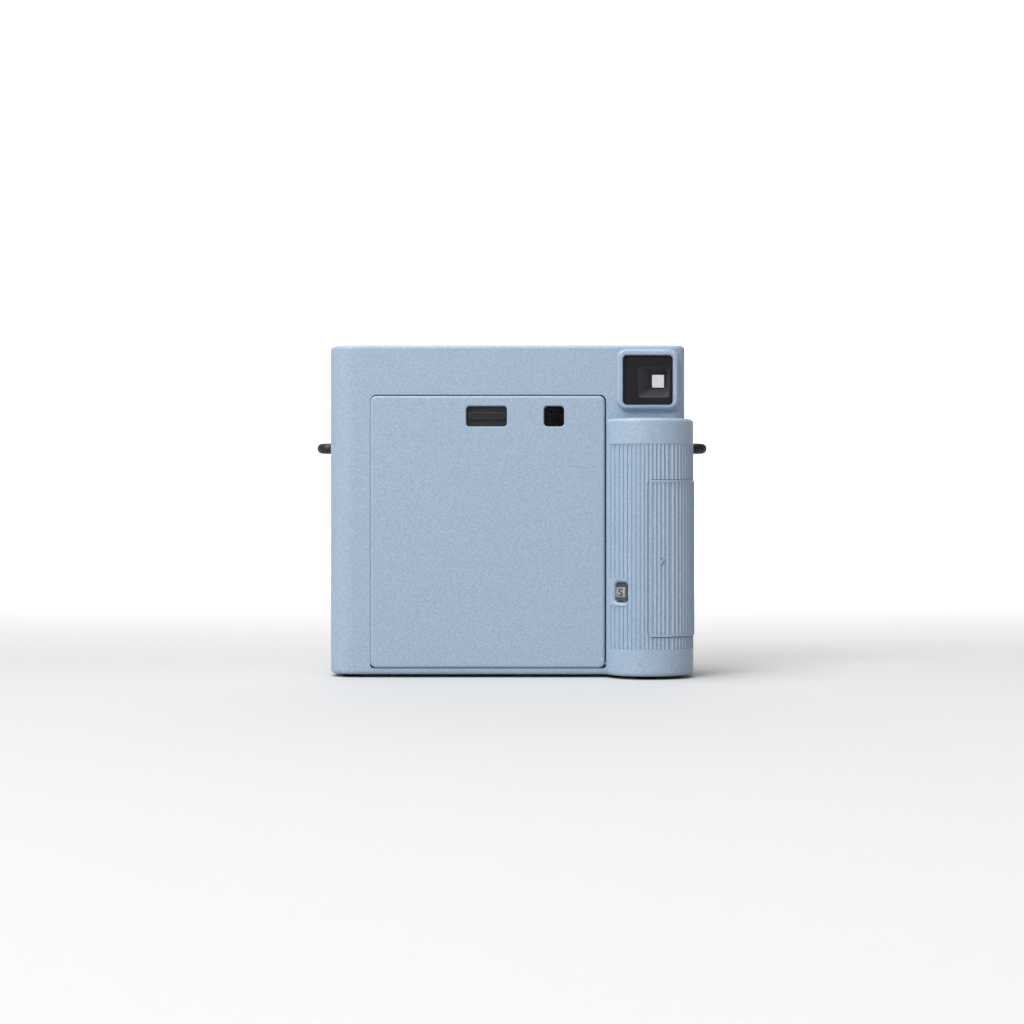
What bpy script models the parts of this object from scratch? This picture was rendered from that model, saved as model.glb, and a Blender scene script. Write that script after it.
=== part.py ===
"""Instant camera for square film, built as the pieces it comes apart into.

Frame: +Z up, the lens looks towards -Y, the film door and the eyepiece face +Y, and the grip is
at -X. The origin is under the middle of the camera, on the surface that its feet stand on.
Every length in this file is in millimetres. The helpers turn them into metres.
"""
import math

import bmesh
import bpy
from mathutils import Matrix, Vector

MM = 0.001

# ------------------------------------------------------------------ driving sizes
WIDTH = 130.7
HEIGHT = 118.6
DEPTH = 57.5
SIDE = WIDTH / 2
REAR_MOST = DEPTH / 2
GAP = 0.3                     # between pieces that touch on the real camera
WALL = 2.0
PROUD = 0.35                  # how far the battery cover stands out of the grip
FAR = 150.0                   # past the camera on every side, for cutters that go right through

BODY_BOTTOM = 1.1
BODY_FRONT = -19.75
BODY_BACK = 17.25
BODY_GRIP_SIDE = -61.9
BODY_CORNER = 9.0
BODY_SMALL_CORNER = 5.0
BODY_EDGE = 1.4

GRIP_TOP = 92.2
GRIP_EDGE = 33.6              # where the grip starts, beside the film door
GRIP_CREST_X = -47.7
GRIP_CURVE = 15.5
GRIP_BACK_Y = REAR_MOST - PROUD - GRIP_CURVE
GRIP_SIDE_CURVE = SIDE - PROUD + GRIP_CREST_X
GRIP_FRONT = (-49.2, -10.0)   # centre of the front bulge
GRIP_FRONT_CURVE = 13.0

LENS_X = 8.7
LENS_Z = 53.0
DIAL_RADIUS = 34.0
BARREL_RADIUS = 29.2

DOOR_LEFT, DOOR_RIGHT = 50.55, -33.2
DOOR_BOTTOM, DOOR_TOP = 3.48, 100.5
DOOR_INNER, DOOR_OUTER = 15.2, 17.85
DOOR_HINGE = (16.4, 5.0)      # Y, Z
DOOR_GAP = 0.35
DOOR_CORNER = 2.2
DOOR_ROUNDING = 1.1           # round the outer face
DOOR_PIN = 0.45               # radius
DOOR_SKIN = 1.3               # in front of the latch

LATCH_LEFT, LATCH_RIGHT = 16.3, 1.8
DOOR_WINDOW_LEFT, DOOR_WINDOW_RIGHT = -11.4, -18.6
DOOR_HOLES = (89.5, 96.8)     # Z of the latch pocket and of the film window

EYE = (-57.2, -39.4, 97.1, 114.8)       # X and Z limits of the eyepiece opening
EYE_RIM = 1.5
EYE_RIM_BACK = 20.2
EYE_RIM_CORNER = 3.0
EYE_CORNER = 1.5
FUNNEL_MOUTH = (-56.1, -44.7, 99.7, 110.9)
FUNNEL_THROAT = (-55.0, -49.6, 103.1, 108.6)

COVER_EDGE_X = -47.9
COVER_BOTTOM, COVER_TOP = 15.0, 70.3
COVER_FRONT_Y = -3.0
COVER_THICKNESS = 1.9
COVER_PIN = (-64.2, -1.9)     # X, Y

BATTERY = (-53.6, 14.6)       # X, Y of both cells
BATTERY_RADIUS = 7.8
BATTERY_LENGTH = 27.0

COUNTER_X = -38.2
COUNTER_Z = 30.65
COUNTER_ANGLE = math.asin((COUNTER_X - GRIP_CREST_X) / GRIP_CURVE)
DRUM_RADIUS = 4.2
DRUM_DEPTH = 1.9              # its nearest point, below the surface of the grip
COUNTER_OPENING = (2.85, 3.6) # half its width and height

LUG_Z = 82.1
LUG_THICK = 3.7
LUG_REACH = 5.6
LUG_ROUNDING = 0.7
LUG_HOLE = (1.7, 4.2)         # its ends, in from the tip

FILM_PLANE = 0.0
EXIT_SLOT = (-29.3, 46.7, -2.2, 2.6)    # X and Y limits of the slot in the top
ROLLER_Z = 106.0
ROLLER_RADIUS = 4.2
FRONT_ROLLER_Y, REAR_ROLLER_Y = -3.6, 5.4
GEAR_LOW, GEAR_HIGH = -37.2, -34.2      # X of the gear train
IDLER = (-5.55, 94.92)                  # Y, Z
PINION = (-5.55, 85.92)

# ------------------------------------------------------------------ start empty
for old in list(bpy.data.objects):
    bpy.data.objects.remove(old, do_unlink=True)

PARTS = bpy.data.collections.new("instant_camera")
CUTTERS = bpy.data.collections.new("cutters")
bpy.context.scene.collection.children.link(PARTS)
bpy.context.scene.collection.children.link(CUTTERS)


# ------------------------------------------------------------------ finishes
def finish(name, colour, roughness, metallic=0.0):
    material = bpy.data.materials.new(name)
    material.use_nodes = True
    shader = material.node_tree.nodes["Principled BSDF"]
    shader.inputs["Base Color"].default_value = (*colour, 1.0)
    shader.inputs["Roughness"].default_value = roughness
    shader.inputs["Metallic"].default_value = metallic
    material.diffuse_color = (*colour, 1.0)
    return material


BLUE = finish("glacier_blue_plastic", (0.37, 0.46, 0.58), 0.5)
WHITE = finish("white_plastic", (0.80, 0.80, 0.80), 0.45)
BLACK = finish("black_plastic", (0.02, 0.02, 0.022), 0.55)
GLOSSY = finish("smoked_window", (0.01, 0.01, 0.012), 0.1)
GLASS = finish("clear_glass", (0.75, 0.80, 0.82), 0.05)
STEEL = finish("steel", (0.60, 0.60, 0.61), 0.3, 1.0)
BRASS = finish("brass", (0.70, 0.53, 0.25), 0.3, 1.0)
MIRROR = finish("mirror", (0.90, 0.90, 0.90), 0.03, 1.0)
RUBBER = finish("grey_rubber", (0.10, 0.10, 0.11), 0.8)
GREEN = finish("circuit_board", (0.02, 0.20, 0.08), 0.5)
NYLON = finish("nylon", (0.75, 0.73, 0.66), 0.5)


# ------------------------------------------------------------------ outlines, as lists of points
def arc(centre_x, centre_y, radius_x, radius_y, start, end, steps):
    points = []
    for step in range(steps + 1):
        angle = math.radians(start + (end - start) * step / steps)
        points.append((centre_x + radius_x * math.cos(angle), centre_y + radius_y * math.sin(angle)))
    return points


def circle(centre_x, centre_y, radius, steps=24):
    return arc(centre_x, centre_y, radius, radius, 0, 360 * (steps - 1) / steps, steps - 1)


def rectangle(low_x, high_x, low_y, high_y, corner=0.0, steps=3):
    if not corner:
        return [(high_x, high_y), (low_x, high_y), (low_x, low_y), (high_x, low_y)]
    return (arc(high_x - corner, high_y - corner, corner, corner, 0, 90, steps)
            + arc(low_x + corner, high_y - corner, corner, corner, 90, 180, steps)
            + arc(low_x + corner, low_y + corner, corner, corner, 180, 270, steps)
            + arc(high_x - corner, low_y + corner, corner, corner, 270, 360, steps))


def body_outline(inset):
    """The square body seen from above, moved in by inset."""
    left = SIDE - inset
    right = BODY_GRIP_SIDE + inset
    back = BODY_BACK - inset
    front = BODY_FRONT + inset
    wide = BODY_CORNER - inset
    tight = BODY_SMALL_CORNER - inset
    return (arc(left - wide, back - wide, wide, wide, 0, 90, 6)
            + arc(right + tight, back - tight, tight, tight, 90, 180, 4)
            + arc(right + tight, front + tight, tight, tight, 180, 270, 4)
            + arc(left - wide, front + wide, wide, wide, 270, 360, 6))


def grip_outline(inset):
    """The grip seen from above: a round back and side, and a lower bulge in front."""
    curve = GRIP_CURVE - inset
    side_curve = GRIP_SIDE_CURVE - inset
    front_curve = GRIP_FRONT_CURVE - inset
    front_x, front_y = GRIP_FRONT
    start = math.degrees(math.acos((-GRIP_EDGE - inset - GRIP_CREST_X) / curve))
    return (arc(GRIP_CREST_X, GRIP_BACK_Y, curve, curve, start, 90, 7)
            + arc(GRIP_CREST_X, GRIP_BACK_Y, side_curve, curve, 90, 180, 9)[1:]
            + arc(front_x, front_y, SIDE - PROUD + front_x - inset, front_curve, 180, 270, 6)
            + arc(front_x, front_y, front_curve + 1, front_curve, 270, 335, 4)[1:]
            + [(-GRIP_EDGE - inset, front_y + 5)])


def gear_outline(centre_y, centre_z, teeth, phase=0.0):
    """A spur gear of 1.125 mm pitch radius for every four teeth, with clearance at the tooth roots."""
    pitch = 360 / teeth
    radius = teeth * 1.125 / 4
    points = []
    for tooth in range(teeth):
        middle = phase + tooth * pitch
        for offset, height in ((-0.27, -0.72), (-0.11, 0.42), (0.11, 0.42), (0.27, -0.72)):
            angle = math.radians(middle + offset * pitch)
            points.append((centre_y + (radius + height) * math.cos(angle),
                           centre_z + (radius + height) * math.sin(angle)))
    return points


# ------------------------------------------------------------------ solids
# Each plane turns a flat outline's own x, y and height into the camera's X, Y and Z.
PLANES = {
    "XY": Matrix.Identity(4),
    "XZ": Matrix(((1, 0, 0, 0), (0, 0, 1, 0), (0, 1, 0, 0), (0, 0, 0, 1))),
    "YZ": Matrix(((0, 0, 1, 0), (1, 0, 0, 0), (0, 1, 0, 0), (0, 0, 0, 1))),
}
# Each axis turns a turned profile's own Z into the camera's X, Y or Z.
AXES = {
    "X": Matrix.Rotation(math.radians(90), 4, "Y"),
    "Y": Matrix.Rotation(math.radians(-90), 4, "X"),
    "Z": Matrix.Identity(4),
}


def place(obj, material):
    """Put a finished piece with the parts, or a piece with no material with the cutters."""
    if material:
        obj.data.materials.append(material)
        PARTS.objects.link(obj)
    else:
        CUTTERS.objects.link(obj)
        obj.hide_render = True
        obj.display_type = "WIRE"
    return obj


def as_mesh(curve_object, name):
    """Turn a curve object into a closed mesh in the camera's frame."""
    bpy.context.scene.collection.objects.link(curve_object)
    bpy.context.view_layer.update()
    graph = bpy.context.evaluated_depsgraph_get()
    mesh = bpy.data.meshes.new_from_object(curve_object.evaluated_get(graph))
    mesh.transform(curve_object.matrix_world)
    curve = curve_object.data
    bpy.data.objects.remove(curve_object)
    bpy.data.curves.remove(curve)
    shape = bmesh.new()
    shape.from_mesh(mesh)
    bmesh.ops.remove_doubles(shape, verts=shape.verts, dist=0.00001)
    bmesh.ops.recalc_face_normals(shape, faces=shape.faces)
    shape.to_mesh(mesh)
    shape.free()
    mesh.name = name
    return mesh


def slab(name, outlines, low, high, plane, material=None, edge=0.0, rings=1):
    """A flat outline, with any holes after it, given thickness and rounded edges."""
    if isinstance(outlines[0][0], float) or isinstance(outlines[0][0], int):
        outlines = [outlines]
    curve = bpy.data.curves.new(name, "CURVE")
    curve.dimensions = "2D"
    curve.fill_mode = "BOTH"
    curve.extrude = ((high - low) / 2 - edge) * MM
    curve.bevel_depth = edge * MM
    curve.bevel_resolution = rings
    curve.offset = -edge * MM
    for outline in outlines:
        spline = curve.splines.new("POLY")
        spline.points.add(len(outline) - 1)
        spline.use_cyclic_u = True
        for point, (x, y) in zip(spline.points, outline):
            point.co = (x * MM, y * MM, 0, 1)
    obj = bpy.data.objects.new(name, curve)
    obj.matrix_world = PLANES[plane] @ Matrix.Translation((0, 0, (low + high) / 2 * MM))
    mesh = as_mesh(obj, name)
    return place(bpy.data.objects.new(name, mesh), material)


def turned(name, profile, axis, centre, material=None, steps=32, ring=False):
    """A profile of (radius, height) points, outer side from high to low, turned about an axis."""
    mesh = bpy.data.meshes.new(name)
    count = len(profile)
    links = [(i, i + 1) for i in range(count - 1)]
    if ring:
        links.append((count - 1, 0))
    mesh.from_pydata([(radius * MM, 0, height * MM) for radius, height in profile], links, [])
    obj = place(bpy.data.objects.new(name, mesh), material)
    obj.matrix_world = Matrix.Translation(Vector(centre) * MM) @ AXES[axis]
    screw = obj.modifiers.new("turn", "SCREW")
    screw.steps = steps
    screw.render_steps = steps
    screw.use_merge_vertices = True
    screw.merge_threshold = 0.00001
    screw.use_smooth_shade = False
    return obj


def rod(name, axis, centre, low, high, radius, material=None, steps=16):
    """A plain round bar along an axis, from low to high on that axis."""
    return turned(name, [(0, high), (radius, high), (radius, low), (0, low)], axis, centre,
                  material, steps)


def tube(name, axis, centre, low, high, inner, outer, material=None, steps=32):
    profile = [(inner, high), (outer, high), (outer, low), (inner, low)]
    return turned(name, profile, axis, centre, material, steps, ring=True)


def spring(name, axis, centre, low, high, radius, wire, turns, material, top_radius=None):
    """A compression spring, as wire along a helix, which narrows if it has a top radius."""
    points_per_turn = 10
    count = int(turns * points_per_turn)
    curve = bpy.data.curves.new(name, "CURVE")
    curve.dimensions = "3D"
    curve.bevel_depth = wire * MM
    curve.bevel_resolution = 1
    curve.use_fill_caps = True
    spline = curve.splines.new("POLY")
    spline.points.add(count)
    for index, point in enumerate(spline.points):
        angle = 2 * math.pi * index / points_per_turn
        height = low + wire + (high - low - 2 * wire) * index / count
        reach = radius + ((top_radius or radius) - radius) * index / count
        point.co = (reach * math.cos(angle) * MM, reach * math.sin(angle) * MM, height * MM, 1)
    obj = bpy.data.objects.new(name, curve)
    obj.matrix_world = Matrix.Translation(Vector(centre) * MM) @ AXES[axis]
    return place(bpy.data.objects.new(name, as_mesh(obj, name)), material)


def combine(target, operation, tools):
    """Give the target one Boolean modifier for each tool."""
    for tool in tools:
        modifier = target.modifiers.new(tool.name, "BOOLEAN")
        modifier.operation = operation
        modifier.object = tool
    return target


def cut(target, *tools):
    return combine(target, "DIFFERENCE", tools)


def join(target, *tools):
    return combine(target, "UNION", tools)


def pyramid(name, front, back, front_y, back_y, material=None):
    """A box whose front face and back face are different rectangles (X low, X high, Z low, Z high)."""
    shape = bmesh.new()
    bmesh.ops.create_cube(shape, size=2.0)
    for vertex in shape.verts:
        limits, depth = (back, back_y) if vertex.co.y > 0 else (front, front_y)
        x = limits[1] if vertex.co.x > 0 else limits[0]
        z = limits[3] if vertex.co.z > 0 else limits[2]
        vertex.co = (x * MM, depth * MM, z * MM)
    mesh = bpy.data.meshes.new(name)
    shape.to_mesh(mesh)
    shape.free()
    return place(bpy.data.objects.new(name, mesh), material)


def turn_about_z(obj, angle, x, y):
    """Turn a finished piece about the vertical line at x, y."""
    pivot = Vector((x, y, 0)) * MM
    turn = Matrix.Translation(pivot) @ Matrix.Rotation(angle, 4, "Z") @ Matrix.Translation(-pivot)
    obj.matrix_world = turn @ obj.matrix_world
    return obj


# ------------------------------------------------------------------ casing
FLOOR = 1.9                   # the bottom wall


def casing(name, low_y, high_y):
    """One half of the hollow casing, between two planes across the camera."""
    shell = slab(name, body_outline(0), BODY_BOTTOM, HEIGHT, "XY", BLUE, BODY_EDGE)
    grip = slab(name + "_grip", grip_outline(0), BODY_BOTTOM, GRIP_TOP, "XY", None, BODY_EDGE)
    room = slab(name + "_room", body_outline(WALL), BODY_BOTTOM + FLOOR, HEIGHT - WALL, "XY")
    grip_room = slab(name + "_grip_room", grip_outline(WALL), BODY_BOTTOM + FLOOR + 0.05,
                     GRIP_TOP - WALL, "XY")
    half = slab(name + "_half", rectangle(-FAR, FAR, low_y, high_y), -FAR, FAR, "XY")
    join(shell, grip)
    cut(shell, room, grip_room)
    return combine(shell, "INTERSECT", [half])


LUG_WIDTH = 10.0
LUG_FLANGE = 1.5              # thickness of the flange inside the wall
LUG_START = 3.9               # where the flange starts, in from the outside


def lug_slots():
    """Openings for the strap loops, half in each cover."""
    slots = []
    reach, half = 4.5, LUG_WIDTH / 2 + GAP
    for side, wall_x in (("side", SIDE), ("grip", -SIDE)):
        slots.append(slab("lug_slot_" + side, rectangle(wall_x - reach, wall_x + reach, -half, half),
                          LUG_Z - LUG_THICK / 2 - GAP, LUG_Z + LUG_THICK / 2 + GAP, "XY"))
    return slots


SCREWS = [(53.6, 11.0), (-39.0, 4.0)]      # X, Y in the bottom of the rear cover
SCREW_HEAD = 2.1              # radius
SCREW_SHANK = 0.8
SCREW_SEAT = 2.1              # Z of the underside of the head
SCREW_ROOM = 0.4              # clearance round head and shank


def screw_holes(positions):
    """Countersunk holes: wide for the head from below, narrow for the shank above."""
    holes = []
    wide, narrow, seat = SCREW_HEAD + SCREW_ROOM, SCREW_SHANK + SCREW_ROOM, SCREW_SEAT + GAP
    for index, (x, y) in enumerate(positions):
        profile = [(0, 6.0), (narrow, 6.0), (narrow, seat), (wide, seat), (wide, -1.0), (0, -1.0)]
        holes.append(turned(f"screw_hole_{index}", profile, "Z", (x, y, 0), None, 16))
    return holes


lug_openings = lug_slots()
exit_slot = slab("exit_slot", rectangle(*EXIT_SLOT), HEIGHT - 5, HEIGHT + 5, "XY")
cover_opening = slab("cover_opening", rectangle(-FAR, COVER_EDGE_X + GAP, COVER_FRONT_Y - 0.8, FAR),
                     COVER_BOTTOM - GAP, COVER_TOP + GAP, "XY")


def rear_cover():
    """The back half: film door opening, eyepiece rim, counter window and battery cover opening."""
    cover = casing("rear_cover", GAP / 2, FAR)
    low_x, high_x, low_z, high_z = EYE
    rim = slab("eye_rim", rectangle(low_x - EYE_RIM, high_x + EYE_RIM, low_z - EYE_RIM, high_z + EYE_RIM,
                                    EYE_RIM_CORNER), BODY_BACK - WALL, EYE_RIM_BACK, "XZ", None, BODY_EDGE)
    eye_opening = slab("eye_opening", rectangle(*EYE, EYE_CORNER), 5, FAR, "XZ")
    door_opening = slab("door_opening", rectangle(-GRIP_EDGE, DOOR_LEFT + DOOR_GAP, DOOR_BOTTOM - DOOR_GAP,
                                                  DOOR_TOP + DOOR_GAP, DOOR_CORNER + 0.2), 10, 22, "XZ")
    bores = [rod(f"door_pin_bore_{x > 0}", "X", (0, *DOOR_HINGE), x - 3.3, x + 3.3, DOOR_PIN + 0.2, None, 12)
             for x in (DOOR_LEFT, -GRIP_EDGE - 0.5)]
    half_x, half_z = COUNTER_OPENING
    window = slab("counter_opening", rectangle(COUNTER_X - half_x, COUNTER_X + half_x,
                                               COUNTER_Z - half_z, COUNTER_Z + half_z, 1.0), 15, 35, "XZ")
    turn_about_z(window, -COUNTER_ANGLE, COUNTER_X, GRIP_BACK_Y + GRIP_CURVE * math.cos(COUNTER_ANGLE))
    join(cover, rim)
    cut(cover, eye_opening, door_opening, window, cover_opening, exit_slot, *bores, *lug_openings)
    cut(cover, *screw_holes(SCREWS))


FLASH = (30.0, 56.0, 97.5, 112.5)
FINDER = (-59.3, -44.3, 98.0, 113.0)
SENSOR = (0.0, 105.5)
BUTTON = (-49.2, 79.5)
BUTTON_RADIUS = 6.6


SENSOR_RADIUS = 3.0


def front_cover():
    """The front half, with openings for the lens, flash, viewfinder, light sensor and button."""
    cover = casing("front_cover", -FAR, -GAP / 2)
    before, behind = -30.0, BODY_FRONT + WALL + 2.75
    lens_opening = rod("lens_opening", "Y", (LENS_X, 0, LENS_Z), before, behind,
                       BARREL_RADIUS + 0.8, None, 48)
    flash_opening = slab("flash_opening", rectangle(*FLASH, 2.0), before, behind, "XZ")
    finder_opening = slab("finder_opening", rectangle(*FINDER, 1.5), before, behind, "XZ")
    sensor_opening = rod("sensor_opening", "Y", (SENSOR[0], 0, SENSOR[1]), before, behind,
                         SENSOR_RADIUS + GAP)
    button_opening = rod("button_opening", "Y", (BUTTON[0], 0, BUTTON[1]), before, behind,
                         BUTTON_RADIUS + GAP, None, 32)
    cut(cover, lens_opening, flash_opening, finder_opening, sensor_opening, button_opening)
    cut(cover, cover_opening, exit_slot, *lug_openings)


def lugs():
    """Strap loops, clamped by their flanges between the two halves of the casing."""
    half = LUG_WIDTH / 2
    for name, wall_x, outwards in (("strap_lug_side", SIDE, 1), ("strap_lug_grip", -SIDE + PROUD, -1)):
        tip = (SIDE + LUG_REACH) * outwards
        start = wall_x - outwards * LUG_START
        round_end = arc(tip - outwards * half, 0, half * outwards, half, -90, 90, 8)
        outline = round_end + [(start, half), (start, -half)]
        hole_near, hole_far = (tip - outwards * distance for distance in LUG_HOLE)
        hole = rectangle(min(hole_near, hole_far), max(hole_near, hole_far), -2.9, 2.9, 1.0, 2)
        lug = slab(name, [outline, hole], LUG_Z - LUG_THICK / 2, LUG_Z + LUG_THICK / 2, "XY",
                   BLACK, LUG_ROUNDING)
        flange = slab(name + "_flange", rectangle(min(start, start + outwards * LUG_FLANGE),
                                                  max(start, start + outwards * LUG_FLANGE), -7.5, 7.5),
                      LUG_Z - 3.2, LUG_Z + 3.2, "XY")
        join(lug, flange)


def feet():
    """Two rubber rails. The one under the grip is wider and longer."""
    for name, low_x, high_x, back in (("foot_side", 56.6, 61.3, 9.0), ("foot_grip", -51.8, -44.1, 21.4)):
        slab(name, rectangle(low_x, high_x, -12.0, back, 1.5), 0.0, BODY_BOTTOM - GAP, "XY", RUBBER, 0.2)


def screws():
    """Two small screws that come up through the bottom of the rear cover."""
    for index, (x, y) in enumerate(SCREWS):
        profile = [(0, 8.0), (SCREW_SHANK, 7.0), (SCREW_SHANK, SCREW_SEAT), (SCREW_HEAD, SCREW_SEAT),
                   (SCREW_HEAD, 1.2), (0, 1.2)]
        turned(f"casing_screw_{index + 1}", profile, "Z", (x, y, 0), STEEL, 12)


# ------------------------------------------------------------------ film door
PAD_CENTRES = (("left", LENS_X + 18.0), ("right", LENS_X - 18.0))


def film_door():
    """A flat panel on two pins, with the latch pocket, the film window and seats for the pad springs."""
    door = slab("film_door", rectangle(DOOR_RIGHT, DOOR_LEFT, DOOR_BOTTOM, DOOR_TOP, DOOR_CORNER), DOOR_INNER,
                DOOR_OUTER, "XZ", BLUE, DOOR_ROUNDING)
    low_z, high_z = DOOR_HOLES
    pocket = slab("latch_pocket", rectangle(LATCH_RIGHT, LATCH_LEFT, low_z, high_z, 1.1), 10, 20, "XZ")
    latch_room = slab("latch_room", rectangle(LATCH_RIGHT - 2.4, LATCH_LEFT + 2.4, 78.5, DOOR_TOP + 1),
                      10, DOOR_OUTER - DOOR_SKIN, "XZ")
    window_hole = slab("window_hole", rectangle(DOOR_WINDOW_RIGHT, DOOR_WINDOW_LEFT, low_z, high_z, 1.3),
                       10, 20, "XZ")
    cut(door, pocket, latch_room, window_hole)
    for name, x in (("left", DOOR_LEFT), ("right", DOOR_RIGHT)):
        cut(door, rod("door_bore_" + name, "X", (0, *DOOR_HINGE), x - 3, x + 3, DOOR_PIN + 0.25))
    for name, x in PAD_CENTRES:
        seat = slab("spring_seat_" + name, rectangle(x - 4.2, x + 4.2, 45.8, 54.2, 1), 10, 15.8, "XZ")
        cut(door, seat)
    slab("door_window", rectangle(DOOR_WINDOW_RIGHT + 0.25, DOOR_WINDOW_LEFT - 0.25, low_z + 0.25,
                                  high_z - 0.25, 1.1), 15.6, DOOR_OUTER - 0.25, "XZ", GLOSSY)
    rod("door_pin_left", "X", (0, *DOOR_HINGE), DOOR_LEFT - 2.6, DOOR_LEFT + 3.0, DOOR_PIN, STEEL, 12)
    rod("door_pin_right", "X", (0, *DOOR_HINGE), -GRIP_EDGE - 3.4, DOOR_RIGHT + 2.6, DOOR_PIN,
        STEEL, 12)


def door_latch():
    """A sprung slide behind the door's skin, with a finger ridge in the pocket."""
    latch = slab("door_latch", rectangle(LATCH_RIGHT - 1.8, LATCH_LEFT + 1.8, 86.8, 98.0), 14.2, 16.2, "XZ",
                 BLACK)
    ridge = slab("latch_ridge", rectangle(LATCH_RIGHT + 0.4, LATCH_LEFT - 0.4, 92.0, 94.6, 1.0), 15.5, 17.3,
                 "XZ", None, 0.3)
    tongue = slab("latch_tongue", rectangle(6.0, 12.0, 97.0, 100.2), 14.2, 15.9, "XZ")
    join(latch, ridge, tongue)
    spring("latch_spring", "Z", (9.05, 14.9, 0), 79.2, 86.5, 1.2, 0.22, 5, STEEL)


def pressure_pads():
    """Two sprung pads in the door that push the film stack towards the lens."""
    for name, x in PAD_CENTRES:
        slab("pressure_pad_" + name, rectangle(x - 7, x + 7, 30.0, 70.0, 2.0), 9.4, 10.8, "XZ", BLACK, 0.5)
        spring("pressure_spring_" + name, "Y", (x, 0, 50.0), 11.1, 15.5, 3.0, 0.3, 3, STEEL)


# ------------------------------------------------------------------ viewfinder
def viewfinder():
    """Eyepiece funnel and its lens at the back, a black tube, and a clear window in front."""
    low_x, high_x, low_z, high_z = EYE
    frame = slab("eyepiece_frame", rectangle(low_x + GAP, high_x - GAP, low_z + GAP, high_z - GAP, 1.2), 12.5,
                 EYE_RIM_BACK - 1.3, "XZ", BLACK, 0.4)
    funnel = pyramid("funnel", FUNNEL_THROAT, FUNNEL_MOUTH, 14.0, EYE_RIM_BACK - 1.2)
    throat = slab("throat", rectangle(*FUNNEL_THROAT), 5, 14.2, "XZ")
    cut(frame, throat, funnel)
    throat_low_x, throat_high_x, throat_low_z, throat_high_z = FUNNEL_THROAT
    slab("eyepiece_lens", rectangle(throat_low_x + GAP, throat_high_x - GAP, throat_low_z + GAP,
                                    throat_high_z - GAP, 0.5), 12.8, 13.7, "XZ", GLASS)
    tube_outline = rectangle(FINDER[0] + 0.2, FINDER[1] - 0.2, FINDER[2] + 0.2, FINDER[3] - 0.2, 1.0)
    tube_hole = rectangle(FINDER[0] + 1.5, FINDER[1] - 1.5, FINDER[2] + 1.5, FINDER[3] - 1.5, 0.5)
    slab("viewfinder_tube", [tube_outline, tube_hole], -17.4, 12.0, "XZ", BLACK)
    slab("viewfinder_window", rectangle(FINDER[0] + GAP, FINDER[1] - GAP, FINDER[2] + GAP, FINDER[3] - GAP,
                                        1.2), -19.6, -18.2, "XZ", GLASS)


# ------------------------------------------------------------------ grip: batteries, cover and counter
def battery_cover():
    """The curved cover, and the hinge frame that slides out with it before it swings."""
    outside = GRIP_CURVE + PROUD
    outside_x = GRIP_SIDE_CURVE + PROUD
    inside = outside - COVER_THICKNESS
    inside_x = outside_x - COVER_THICKNESS
    start_out = math.degrees(math.acos((COVER_EDGE_X - GRIP_CREST_X) / outside_x))
    start_in = math.degrees(math.acos((COVER_EDGE_X - GRIP_CREST_X) / inside_x))
    outline = (arc(GRIP_CREST_X, GRIP_BACK_Y, outside_x, outside, start_out, 180, 9)
               + [(-SIDE, COVER_PIN[1]), (-SIDE + COVER_THICKNESS, COVER_PIN[1])]
               + list(reversed(arc(GRIP_CREST_X, GRIP_BACK_Y, inside_x, inside, start_in, 180, 9))))
    cover = slab("battery_cover", outline, COVER_BOTTOM, COVER_TOP, "XY", BLUE, 0.3)
    barrel = rod("cover_barrel", "Z", (*COVER_PIN, 0), COVER_BOTTOM + 2.3, COVER_TOP - 2.3, 1.15)
    relief = slab("ear_relief", [rectangle(-70, -62, COVER_FRONT_Y - 2, COVER_PIN[1] + 1.5)],
                  COVER_BOTTOM - 1, COVER_BOTTOM + 2.3, "XY")
    relief_top = slab("ear_relief_top", [rectangle(-70, -62, COVER_FRONT_Y - 2, COVER_PIN[1] + 1.5)],
                      COVER_TOP - 2.3, COVER_TOP + 1, "XY")
    join(cover, barrel)
    cut(cover, relief, relief_top)
    cut(cover, rod("cover_bore", "Z", (*COVER_PIN, 0), COVER_BOTTOM - 1, COVER_TOP + 1, 0.72, None, 12))

    frame = slab("cover_hinge_frame", rectangle(-62.6, -58.0, -2.9, -0.9), COVER_BOTTOM + 0.1, COVER_TOP - 0.1,
                 "XY", BLACK)
    ear = [(COVER_PIN[0], -3.05), (-58.0, -3.05), (-58.0, -0.75), (COVER_PIN[0], -0.75)]
    ear += arc(*COVER_PIN, 1.15, 1.15, 90, 270, 6)[1:-1]
    for name, low, pin_low in (("low", COVER_BOTTOM + 0.1, COVER_BOTTOM + 1.8),
                               ("high", COVER_TOP - 2.0, COVER_TOP - 4.4)):
        join(frame, slab("ear_" + name, ear, low, low + 1.9, "XY"))
        join(frame, rod("stub_" + name, "Z", (*COVER_PIN, 0), pin_low, pin_low + 2.6, 0.42, None, 12))


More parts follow.
